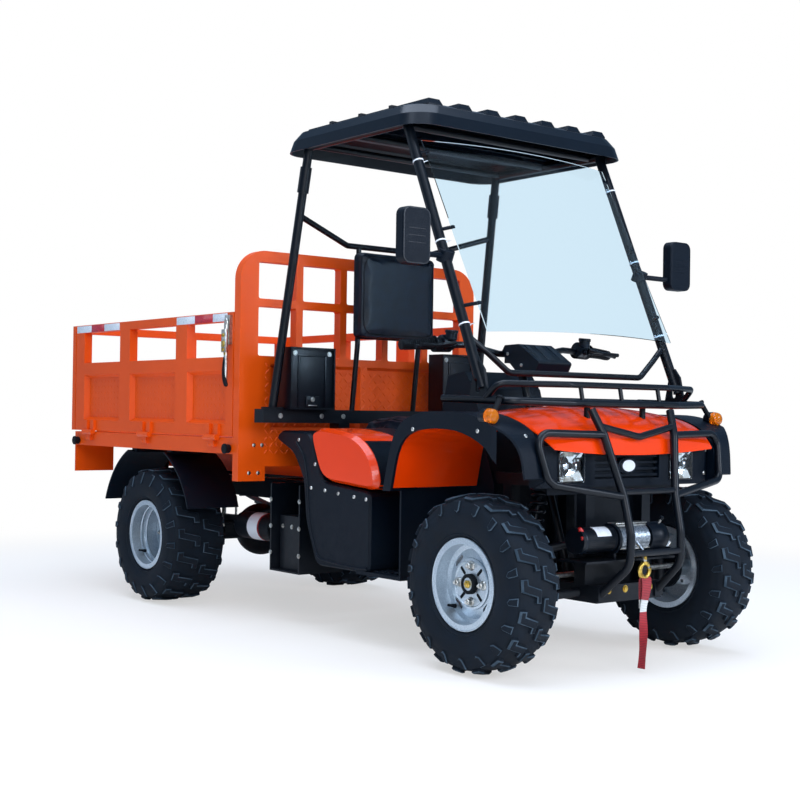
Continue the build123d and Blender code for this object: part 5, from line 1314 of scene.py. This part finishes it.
TREAD_STEP = 25.0
rows = []
for i in range(-19, 20):
    for j in range(14):
        met = landing("bed_guard", (300, i * TREAD_STEP * 0.96, 640 + j * TREAD_STEP), (-1, 0, 0))
        if met and met[1].x > 0.95 and met[0].x > -90:
            rows.append((*met, 45 if (i + j) % 2 else -45))
set_bars("guard_tread", rows, (25, 8, 2.8), orange_powder_coat, "bed")
for name, side in SIDES:
    rows = []
    for i in range(43):
        for j in range(11):
            start = (-1390 + i * 30, side * BESIDE, 712 + j * TREAD_STEP)
            met = landing("bed_side_" + name, start, (0, -side, 0))
            if met and met[1].y * side > 0.95 and abs(met[0].y) < 572:
                rows.append((*met, 45 if (i + j) % 2 else -45))
    set_bars("side_tread_" + name, rows, (23, 7, 1.4), orange_powder_coat, "side_" + name)

# %% [markdown]
# ## Marking tape and latches
# Red and white tape runs along the ends of each top rail. The latch at the front corner has a
# plated body, a wire loop over a hook, and a lever with a curved black grip.

# %% Tape on the top rails
# Columns: start and end along X, 0 for white and 1 for red
TAPES = ((-1419, -1276, 0), (-1276, -1151, 1), (-1151, -1009, 0),
         (-518, -376, 0), (-376, -240, 1), (-240, -134, 0))
for name, side in SIDES:
    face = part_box("side_rails_" + name)[1 if side > 0 else 0].y / MM
    bm = bmesh.new()
    for start, end, red in TAPES:
        block(bm, (start, face - side * 0.4, 1129), (end, face + side * 0.7, 1159), 0.2, red)
    piece("marking_tape_" + name, bm, [white_tape, red_tape], "side_" + name)
print("tape strips", 2 * len(TAPES))

# %% Latch grips, loops and hooks
for name, side in SIDES:
    bm = bmesh.new()
    grip = [(-114, 596, 992), (-115, 599, 968), (-115, 601, 940), (-111, 602, 914), (-103, 601, 892),
            (-97, 600, 884)]
    bar(bm, curve_through([(x, side * y, z) for x, y, z in grip], 4), [8.6] * 18 + [8.0, 7.0, 5.0], 12, 0)
    block(bm, (-130, side * 596, 1010), (-100, side * 607, 1096), 2.0, 1)
    block(bm, (-125, side * 604, 1030), (-105, side * 610, 1052), 1.5, 2)
    bar(bm, [(-112, side * 600, 1000), (-116, side * 602, 1060)], 5.5, 10, 2)
    loop = [(-106, 594, 1096), (-106, 595, 1118), (-110, 596, 1132), (-115, 596, 1134), (-121, 596, 1130),
            (-124, 595, 1118), (-124, 594, 1096)]
    bar(bm, curve_through([(x, side * y, z) for x, y, z in loop], 4), 3.2, 8, 1)
    for z in (1074, 1020):
        turned(bm, [(0, 7), (10, 7), (11, 5)], (-115, side * 601, z), (0, side, 0), 16, 2)
    piece("latch_parts_" + name, bm, [black_rubber, zinc_plate, yellow_zinc], "side_" + name)
print("latches dressed")

# %% [markdown]
# ## Front shock absorbers
# A damper with its coil shows behind each front wheel. The coil is a bar that follows a helix
# between two spring seats, so light passes between the turns as it does on the machine.

# %% Dampers with their coils
SHOCK_FOOT, SHOCK_HEAD = Vector((1175, 292, 232)), Vector((1175, 205, 575))
COIL_TURNS, COIL_R, WIRE_R, COIL_STEPS = 8.5, 24.0, 5.6, 20
# The coil's ends, as shares of the damper's length
COIL_FROM, COIL_TO = 0.225, 0.905
bm = bmesh.new()
for side in (-1, 1):
    foot, head = (Vector((p.x, side * p.y, p.z)) for p in (SHOCK_FOOT, SHOCK_HEAD))
    along = head - foot
    length = along.length
    # Columns: share of the length, radius
    shares = [(0.0, 14), (0.10, 15), (0.14, 20), (0.16, 31), (0.21, 31), (0.215, 18), (0.55, 18), (0.56, 7.5),
              (0.90, 7.5), (0.905, 14), (0.92, 31), (0.97, 31), (0.975, 14), (1.0, 14)]
    turned(bm, [(share * length, radius) for share, radius in shares], foot, along, 24, 0)
    turned(bm, [(-45, 12), (45, 12)], foot, (1, 0, 0), 20, 0)
    turned(bm, [(-48, 9), (-46, 10.5), (-45, 10.5)], foot, (1, 0, 0), 6, 1)
    turn = along.to_track_quat("Z", "Y")
    coil = []
    for k in range(int(COIL_TURNS * COIL_STEPS) + 1):
        angle = 2 * math.pi * k / COIL_STEPS
        share = COIL_FROM + (COIL_TO - COIL_FROM) * k / (COIL_TURNS * COIL_STEPS)
        around = Vector((COIL_R * math.cos(angle), COIL_R * math.sin(angle), 0))
        coil.append(foot + along * share + turn @ around)
    bar(bm, coil, WIRE_R, 10, 0)
shocks = piece("coil_dampers", bm, [black_powder_coat, zinc_plate], "chassis", 40)
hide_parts("front_shocks")
print("coil faces", len(shocks.data.polygons))

# %% [markdown]
# ## Winch
# The drum carries galvanised wire rope in close turns between two flanges. A plated tie bar joins
# the flanges, a plain white plate is stuck on the motor, and red boots cover its terminals.

# %% Rope, tie bars, boots and lever
WINCH_X, WINCH_Z = 1387.0, 412.0
ROPE_R = 3.0
bm = bmesh.new()
rope = []
steps = 20
# Columns of the two layers: radius, start and end along the drum
for radius, start, end in ((36.4, -109, 25), (41.6, 20, -60)):
    count = int(abs(end - start) / (2 * ROPE_R)) * steps
    for k in range(count + 1):
        angle = 2 * math.pi * k / steps
        rope.append((WINCH_X + radius * math.sin(angle), start + (end - start) * k / count,
                     WINCH_Z + radius * math.cos(angle)))
bar(bm, rope, ROPE_R, 6, 0)
for angle in (0.35, 2.3, 4.2):
    x, z = WINCH_X + 43 * math.sin(angle), WINCH_Z + 43 * math.cos(angle)
    bar(bm, [(x, -116, z), (x, 34, z)], 4.5, 10, 1)
block(bm, (WINCH_X - 16, -113, 458), (WINCH_X + 20, 29, 462), 1.0, 1)
for y in (-117, 33):
    band(bm, -5.6, 5.6, 46, 48.6, (WINCH_X, y, WINCH_Z), (0, 1, 0), 40, 2)
turned(bm, [(0, 40), (4, 41.5), (10, 41.5), (12, 40), (130, 40), (132, 41.5), (138, 41.5), (140, 40)],
       (WINCH_X, -262, WINCH_Z), (0, 1, 0), 40, 2)
turned(bm, [(0, 44.3), (30, 44.3), (34, 45.6), (60, 45.6), (66, 40), (72, 30)],
       (WINCH_X, 40, WINCH_Z), (0, 1, 0), 40, 2)
for k in range(6):
    angle = math.pi / 3 * k + 0.3
    spot = (WINCH_X + 36 * math.sin(angle), 104, WINCH_Z + 36 * math.cos(angle))
    turned(bm, [(0, 5), (8, 5), (9, 4)], spot, (0, 1, 0), 6, 1)
for x, z in ((18, 30), (30, 6)):
    boot = Vector((WINCH_X + x, -264, WINCH_Z + z))
    turned(bm, [(0, 8), (7, 8), (10, 6), (14, 5)], boot + Vector((0, 1, 0)), (0, -0.6, 0.8), 14, 3)
lever = Vector((WINCH_X + 12, 96, WINCH_Z + 42))
bar(bm, [lever, lever + Vector((6, 4, 14))], [5, 4], 10, 1)
turned(bm, [(0, 5), (3, 7), (10, 7), (12, 5)], lever + Vector((5, 3, 11)), (0.38, 0.25, 0.89), 14, 2)
angles = [math.radians(8 + 62 * k / 8) for k in range(9)]
plate = [(math.sin(angle), math.cos(angle)) for angle in angles]
for (a, b), (c, d) in zip(plate, plate[1:]):
    strip = ((40.2, a, b), (40.9, a, b), (40.9, c, d), (40.2, c, d))
    loft(bm, [[(WINCH_X + r * s, y, WINCH_Z + r * t) for r, s, t in strip] for y in (-212, -150)], 4)
finishes = [galvanised, zinc_plate, black_abs, red_plastic, white_enamel]
piece("winch_fittings", bm, finishes, "chassis", 40)
print("rope turns", round(len(rope) / steps))

# %% Rope end, sleeve, collar, latch and point of the hook
HOOK_X, HOOK_Y = 1460.0, -38.0
bm = bmesh.new()
rope_end = [(x, HOOK_Y, z) for x, z in ((1424, 404), (1440, 390), (1452, 378), (HOOK_X, 366))]
bar(bm, curve_through(rope_end, 5), 4.6, 8, 0)
turned(bm, [(0, 7.5), (3, 8.2), (22, 8.2), (25, 7)], (HOOK_X - 6, HOOK_Y, 368), (0.25, 0, -0.97), 14, 1)
band(bm, -4, 4, 9, 12, (HOOK_X, HOOK_Y, 340), (0, 0, 1), 20, 2)
latch = [(HOOK_X, HOOK_Y + y, z) for y, z in ((15, 336), (21, 318), (17, 303))]
bar(bm, latch, [3.4, 3.4, 2.4], 8, 1)
point = [(HOOK_X, HOOK_Y - y, z) for y, z in ((12, 296), (22, 303), (26, 316), (24, 330))]
bar(bm, curve_through(point, 4), 4.2, 8, 2)
piece("hook_fittings", bm, [galvanised, zinc_plate, yellow_zinc], "chassis", 40)
print("hook dressed")

# %% [markdown]
# ## Lockers beside the backrest
# Two sheet-metal lockers stand on the cab beam. Each has a folded front plate with two upright
# flutes, bolts in its upper corners, and a tab with a slot at its foot. The plate is flat sheet,
# so it is drawn as blocks with eased edges, and the flutes are bars that stand a little proud.

# %% Locker plates
LOCKER_X = 118.5
# Columns: depth, Y and Z, each from and to; eased edge, finish
LOCKER_BLOCKS = (
    ((0, 3), (271, 459), (806, 1024), 0.8, 0),
    ((2, 8), (300, 310), (810, 998), 1.5, 0),
    ((2, 8), (420, 430), (810, 998), 1.5, 0),
    ((2, 6), (300, 430), (996, 1001), 1.2, 0),
    ((2, 9), (335, 395), (810, 850), 1.5, 0),
    ((8, 9.6), (345, 385), (814, 817), 0.4, 1),
)
# Columns: depth, Y, Z
LOCKER_BOLTS = ((3, 288, 1008), (3, 442, 1008), (9, 365, 838))
bm = bmesh.new()
rows = []
for side in (-1, 1):
    for (x0, x1), (y0, y1), (z0, z1), ease, finish in LOCKER_BLOCKS:
        block(bm, (LOCKER_X + x0, side * y0, z0), (LOCKER_X + x1, side * y1, z1), ease, finish)
    rows += [(Vector((LOCKER_X + x, side * y, z)), Vector((1, 0, 0))) for x, y, z in LOCKER_BOLTS]
    rows += from_ahead("cab_beam", [(side * y, 776) for y in (485, 300, 200)], 400)
piece("locker_plates", bm, [black_powder_coat, zinc_plate], "chassis")
fasten("locker_bolts", rows, hexagon_heads, 6.5, 4.0, zinc_plate, "chassis")

# %% [markdown]
# ## Handlebar, mirrors and screen
# The grips are ribbed rubber sleeves with a flange. A brake lever lies in front of each, with a
# round reservoir beside it and two buttons on its switch block. The pod has a hood with raised
# facets and a dark display. All of it turns with the bar, so it rides on the steering body. The
# mirrors and the ties of the screen stay with the cab.

# %% Grips, levers, reservoirs and buttons
GRIP_R = 17
GRIP_LINE = ((807, 470), (818, 400), (829, 330))
RIB = [(-2.2, 16.5), (-1.4, 18.6), (1.4, 18.6), (2.2, 16.5)]
bm = bmesh.new()
for side in (-1, 1):
    line = landings("handlebar_controls", [(x, side * y, 1200) for x, y in GRIP_LINE], (0, 0, -1))
    along = (line[-1][0] - line[0][0]).normalized()
    start = line[0][0] - Vector((0, 0, GRIP_R))
    for k in range(13):
        turned(bm, RIB, start + along * (8.5 * k - 6), along, 18, 0, ring=True)
    band(bm, -2, 2, GRIP_R, 25, start + along * 106, along, 24, 0)
    turned(bm, [(0, 0), (0, 14), (3, 17.5), (8, 17.5)], start - along * 24, along, 18, 0)
    block_at = start + along * 130
    turned(bm, [(0, 20), (2, 26.5), (44, 26.5), (46, 20)], block_at, along, 24, 1)
    band(bm, 18, 20, 26.8, 27.6, block_at, along, 24, 1)
    tank = block_at + along * 26 + Vector((22, 0, 22))
    turned(bm, [(-14, 17), (-12, 20), (8, 20), (9, 22), (17, 22), (19, 20), (19, 0)], tank, (0.1, 0, 1), 28, 1)
    block(bm, tank + Vector((-20, -9, -26)), tank + Vector((8, 9, -8)), 3, 1)
    for k, (dx, dz) in enumerate(((-18, 8), (-21, -4))):
        button = block_at + along * (12 + 16 * k) + Vector((dx - 4, 0, dz))
        turned(bm, [(0, 5), (6, 5), (8, 3.5)], button, (-1, 0, 0.25), 14, 3 if k == 0 and side < 0 else 2)
    # Columns: along the bar, ahead of it, above it
    bends = ((26, 44, -2), (-10, 54, -4), (-60, 54, -7), (-112, 50, -8), (-132, 52, -8))
    lever = [block_at + along * reach + Vector((ahead, 0, above)) for reach, ahead, above in bends]
    bar(bm, curve_through(lever, 5), [7.5] * 6 + [6.0] * 12 + [6.5, 7.5, 7.0], 10, 2)
finishes = [black_rubber, black_abs, black_powder_coat, red_plastic]
piece("bar_controls", bm, finishes, "steering", 40)
print("grips dressed at", [round(v) for v in start])

# %% Hood facets and display on the pod
HOOD_X = (912, 936, 960, 985, 1010)
bm = bmesh.new()
hood = {}
for x in HOOD_X:
    for y in (-62, -40, -18, 18, 40, 62):
        met = landing("instrument_pod", (x, y, 1300), (0, 0, -1))
        if met:
            hood[(x, y)] = met[0]
for a, b in ((-62, -40), (-18, 18), (40, 62)):
    strip = [(hood[(x, a)], hood[(x, b)]) for x in HOOD_X if (x, a) in hood and (x, b) in hood]
    rings = []
    for k, (first, second) in enumerate(strip):
        lift = 0.4 if k in (0, len(strip) - 1) else 3.2
        sunk = Vector((0, 0, 2))
        rings.append([first - sunk, second - sunk, second + Vector((0, -3, lift)),
                      first + Vector((0, 3, lift))])
    loft(bm, rings, 0)
face = landing("instrument_pod", (700, 0, 1012), (1, 0, 0))
if face:
    spot, out = face
    up_way = (Vector((0, 0, 1)) - out * out.z).normalized()
    right_way = up_way.cross(out)
    cut_plate(bm, rounded(52, 10, 4), spot - out * 0.5, right_way, up_way, 2.0, 0.8, 1)
    cut_plate(bm, rounded(30, 6.5, 2), spot + out * 1.2, right_way, up_way, 1.0, 0.4, 2)
for y in (-78, 78):
    for x, z in ((872, 1000), (940, 960)):
        met = landing("instrument_pod", (x, 3 * y, z), (0, -math.copysign(1, y), 0))
        if met:
            turned(bm, [(-1, 6), (1.5, 6), (3, 3.5)], met[0], met[1], 16, 3)
piece("pod_trim", bm, [black_abs, black_rubber, display_glass, zinc_plate], "steering", 24)
print("hood points", len(hood))

# %% Mirror faces and screen ties
bm = bmesh.new()
for side in (-1, 1):
    centre = Vector((1001.2, side * 620, 1340))
    cut_plate(bm, rounded(47, 81, 22), centre, *REARWARD, 1.4, 0.6, 0)
    cut_plate(bm, rounded(53.6, 87.6, 26), centre + Vector((36.5, 0, 0)), *FORWARD, 0.8, 0.6, 1)
    for k in range(3):
        cut_plate(bm, rounded(34, 1.2, 1.1), centre + Vector((37.2, 0, 22 - 22 * k)), *FORWARD, 1.2, 0.4, 1)
piece("mirror_faces", bm, [mirror_glass, black_abs], "chassis")
PILLAR_FOOT, PILLAR_HEAD = Vector((1167, 458, 872)), Vector((779, 458, 1752))
pillar = PILLAR_HEAD - PILLAR_FOOT
bm = bmesh.new()
for side in (-1, 1):
    for z in (1072, 1342, 1614):
        spot = PILLAR_FOOT.lerp(PILLAR_HEAD, (z - PILLAR_FOOT.z) / pillar.z)
        spot.y *= side
        band(bm, -2.5, 2.5, 16, 18.2, spot, pillar, 28)
        block(bm, spot + Vector((-4, -side * 24, -3)), spot + Vector((4, -side * 16, 4)), 1.0, 0)
        bar(bm, [spot + Vector((0, -side * 20, 0)), spot + Vector((10, -side * 34, 6))], 1.6, 8, 0)
piece("screen_ties", bm, [white_nylon], "chassis")
print("mirrors and ties set")

# %% [markdown]
# ## Footboards, power pack and tray
# Rows of raised teeth keep a boot from slipping, and a bead runs round each footwell. Thin dark
# panels lie on the front of the fairings, where the rider's knees are. The hydraulic pack under
# the bed has a plain white band with two thin red lines, a plated valve block and a red cap.
# Nearby, plated bolts hold the tray.

# %% Teeth on the footboards
rows = []
for side in (-1, 1):
    for x in (600, 640, 680, 720):
        for k in range(10):
            y = side * (212 + 24 * k)
            met = landing("footwells", (x, y, 400), (0, 0, -1))
            if met and met[1].z > 0.9:
                rows.append((*met, 30 if k % 2 else -30))
set_bars("foot_teeth", rows, (22, 6, 5), black_polypropylene, "chassis")

# %% Beads round the footwells, and dark knee panels
# Corners of the bead on the footwell's outer face, as X and Z in mm
BEAD = ((165, 682), (212, 632), (232, 566), (242, 512), (256, 400), (290, 312), (322, 275), (392, 266),
        (545, 260), (600, 264), (616, 282), (616, 380), (616, 478))


def draped(bm, node, starts, way, keep, lift=1.2):
    """A thin sheet laid on a node, with a corner at each ray that meets a face that is kept."""
    met = {}
    for key, start in starts.items():
        hit = landing(node, start, way)
        if hit and keep(*hit):
            met[key] = bm.verts.new((hit[0] + hit[1] * lift) * MM)
    for i, j in met:
        corners = [(i, j), (i + 1, j), (i + 1, j + 1), (i, j + 1)]
        if all(key in met for key in corners):
            bm.faces.new([met[key] for key in corners])


bm = bmesh.new()
for side in (-1, 1):
    corners = [spot for spot, _ in from_side("footwells", side, BEAD)]
    bar(bm, curve_through(corners, 4), 4.5, 8)
piece("footwell_beads", bm, [black_polypropylene], "chassis")
bm = bmesh.new()
for side in (-1, 1):
    starts = {(i, j): (760, side * (110 + 12 * i), 430 + 12 * j) for i in range(29) for j in range(25)}
    draped(bm, "side_fairings", starts, (-1, 0, 0), lambda spot, out: out.x > 0.5)
    starts = {(i, j): (150 + 14 * i, side * (100 + 12 * j), 1000) for i in range(36) for j in range(17)}
    draped(bm, "side_fairings", starts, (0, 0, -1), lambda spot, out: out.z > 0.3 and spot.x > 330)
bmesh.ops.delete(bm, geom=[v for v in bm.verts if not v.link_faces], context="VERTS")
bmesh.ops.recalc_face_normals(bm, faces=bm.faces)
bmesh.ops.solidify(bm, geom=bm.faces[:], thickness=0.002)
knees = piece("knee_panels", bm, [black_polypropylene], "chassis")
print("bead corners", len(corners), "knee panel faces", len(knees.data.polygons))

# %% Bands, valve block and caps
PACK = Vector((-440, -292, 332))
bm = bmesh.new()
# Columns: start and end along the pack, radius, finish
BANDS = ((6, 14, 55.2, 0), (96, 168, 54.6, 1), (170, 173, 54.6, 2), (176, 178, 54.6, 2), (226, 246, 55.4, 0))
for start, end, radius, finish in BANDS:
    band(bm, start, end, 52, radius, PACK, (1, 0, 0), 48, finish)
for k in range(6):
    angle = math.pi / 3 * k
    spot = PACK + Vector((250, 46 * math.sin(angle), 46 * math.cos(angle)))
    turned(bm, [(0, 5), (5, 5), (6, 4)], spot, (1, 0, 0), 6, 3)
block(bm, (-148, -328, 292), (-104, -262, 352), 2.5, 3)
for y, z in ((-312, 338), (-312, 306), (-278, 322)):
    turned(bm, [(0, 9), (8, 9), (9, 7), (9, 5), (15, 5)], (-104, y, z), (1, 0, 0), 6, 3)
turned(bm, [(0, 7), (12, 7), (12, 11), (34, 11), (37, 9)], (-126, -326, 330), (0, -1, 0.1), 20, 2)
turned(bm, [(0, 6), (16, 6), (17, 9), (26, 9), (28, 7)], (-126, -290, 352), (0, 0, 1), 18, 3)
hose = [(-126, -290, 376), (-128, -284, 410), (-150, -262, 440), (-190, -240, 452)]
bar(bm, curve_through(hose, 6), 6, 10, 4)
finishes = [black_powder_coat, white_enamel, red_plastic, zinc_plate, black_rubber]
piece("pack_fittings", bm, finishes, "chassis")
TRAY_BOLTS = [(x, z) for x in (-58, 130) for z in (260, 360, 460)] + [(x, 360) for x in (-20, 40, 90)]
rows = both_sides("battery_trays", TRAY_BOLTS)
fasten("tray_bolts", rows, hexagon_heads, 6.0, 4.0, zinc_plate, "chassis")

# %% [markdown]
# ## Lamps and hardware at the back, springs and axle below
# The tail lamps are red lenses in a black bezel with an amber third. Below, U-bolts clamp the leaf
# springs to the axle, and rubber knobs for a rope stand at the bed's corners.

# %% Tail lamps
tail_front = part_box("tail_lamps")[1].x / MM
bm = bmesh.new()
for side in (-1, 1):
    centre = Vector((tail_front, side * 485, 562))
    cut_plate(bm, rounded(75, 34, 8), centre, *REARWARD, 17, 2, 0)
    # Columns: start and end across the lamp, finish
    for low, high, finish in ((-70, -26, 2), (-24, 70, 1)):
        middle, half = side * (low + high) / 2, (high - low) / 2
        outline = [(middle + a, b) for a, b in rounded(half, 29, 6)]
        cut_plate(bm, outline, centre - Vector((14, 0, 0)), *REARWARD, 14.5, 5, finish)
        for k in range(5):
            ridge = [(middle + a, 20 - 10 * k + b) for a, b in rounded(half - 7, 1.4, 1.3)]
            cut_plate(bm, ridge, centre - Vector((28, 0, 0)), *REARWARD, 1.6, 0.5, finish)
    for y in (-70, 70):
        turned(bm, [(0, 4.5), (1.5, 4.5), (2.5, 3)], centre + Vector((-17, y, 28)), (-1, 0, 0), 12, 3)
tails = piece("tail_lamp_units", bm, [black_abs, lens_red, lens_amber, zinc_plate], "bed")
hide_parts("tail_lamps")
print("tail lamps made")

# %% U-bolts, spring clips and rope knobs
# Widths are halves, across the machine
LEAF_HALF_W, U_BOLT_HALF = 25, 32
leaf_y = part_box("leaf_springs")[1].y / MM - LEAF_HALF_W
axle_x = axles["rear_left"].x / MM
bm = bmesh.new()
for side in (-1, 1):
    y = side * leaf_y
    for x in (axle_x - 45, axle_x + 45):
        bends = ((-1, 300), (-1, 412), (-0.7, 424), (0.7, 424), (1, 412), (1, 300))
        bar(bm, curve_through([(x, y + U_BOLT_HALF * share, z) for share, z in bends], 4), 5, 10, 0)
        for across in (-U_BOLT_HALF, U_BOLT_HALF):
            turned(bm, [(-6, 9), (4, 9)], (x, y + across, 306), (0, 0, 1), 6, 0)
    block(bm, (axle_x - 60, y - 42, 312), (axle_x + 60, y + 42, 320), 1.5, 1)
    for x in (axle_x - 230, axle_x + 230):
        met = landing("leaf_springs", (x, y, 900), (0, 0, -1))
        under = landing("leaf_springs", (x, y, 0), (0, 0, 1))
        if met and under:
            block(bm, (x - 11, y - 29, under[0].z - 3), (x + 11, y + 29, met[0].z + 3), 1.2, 1)
piece("spring_clamps", bm, [zinc_plate, black_powder_coat], "chassis")
KNOB = [(0, 14), (4, 16.5), (14, 16.5), (18, 19), (24, 19), (26, 16), (26, 0)]
bm = bmesh.new()
for side in (-1, 1):
    for x in (-1385, -107):
        turned(bm, KNOB, (x, side * 578, 650), (0, side, 0), 24)
piece("rope_knobs", bm, [black_rubber], "bed")
print("clamps and knobs set")
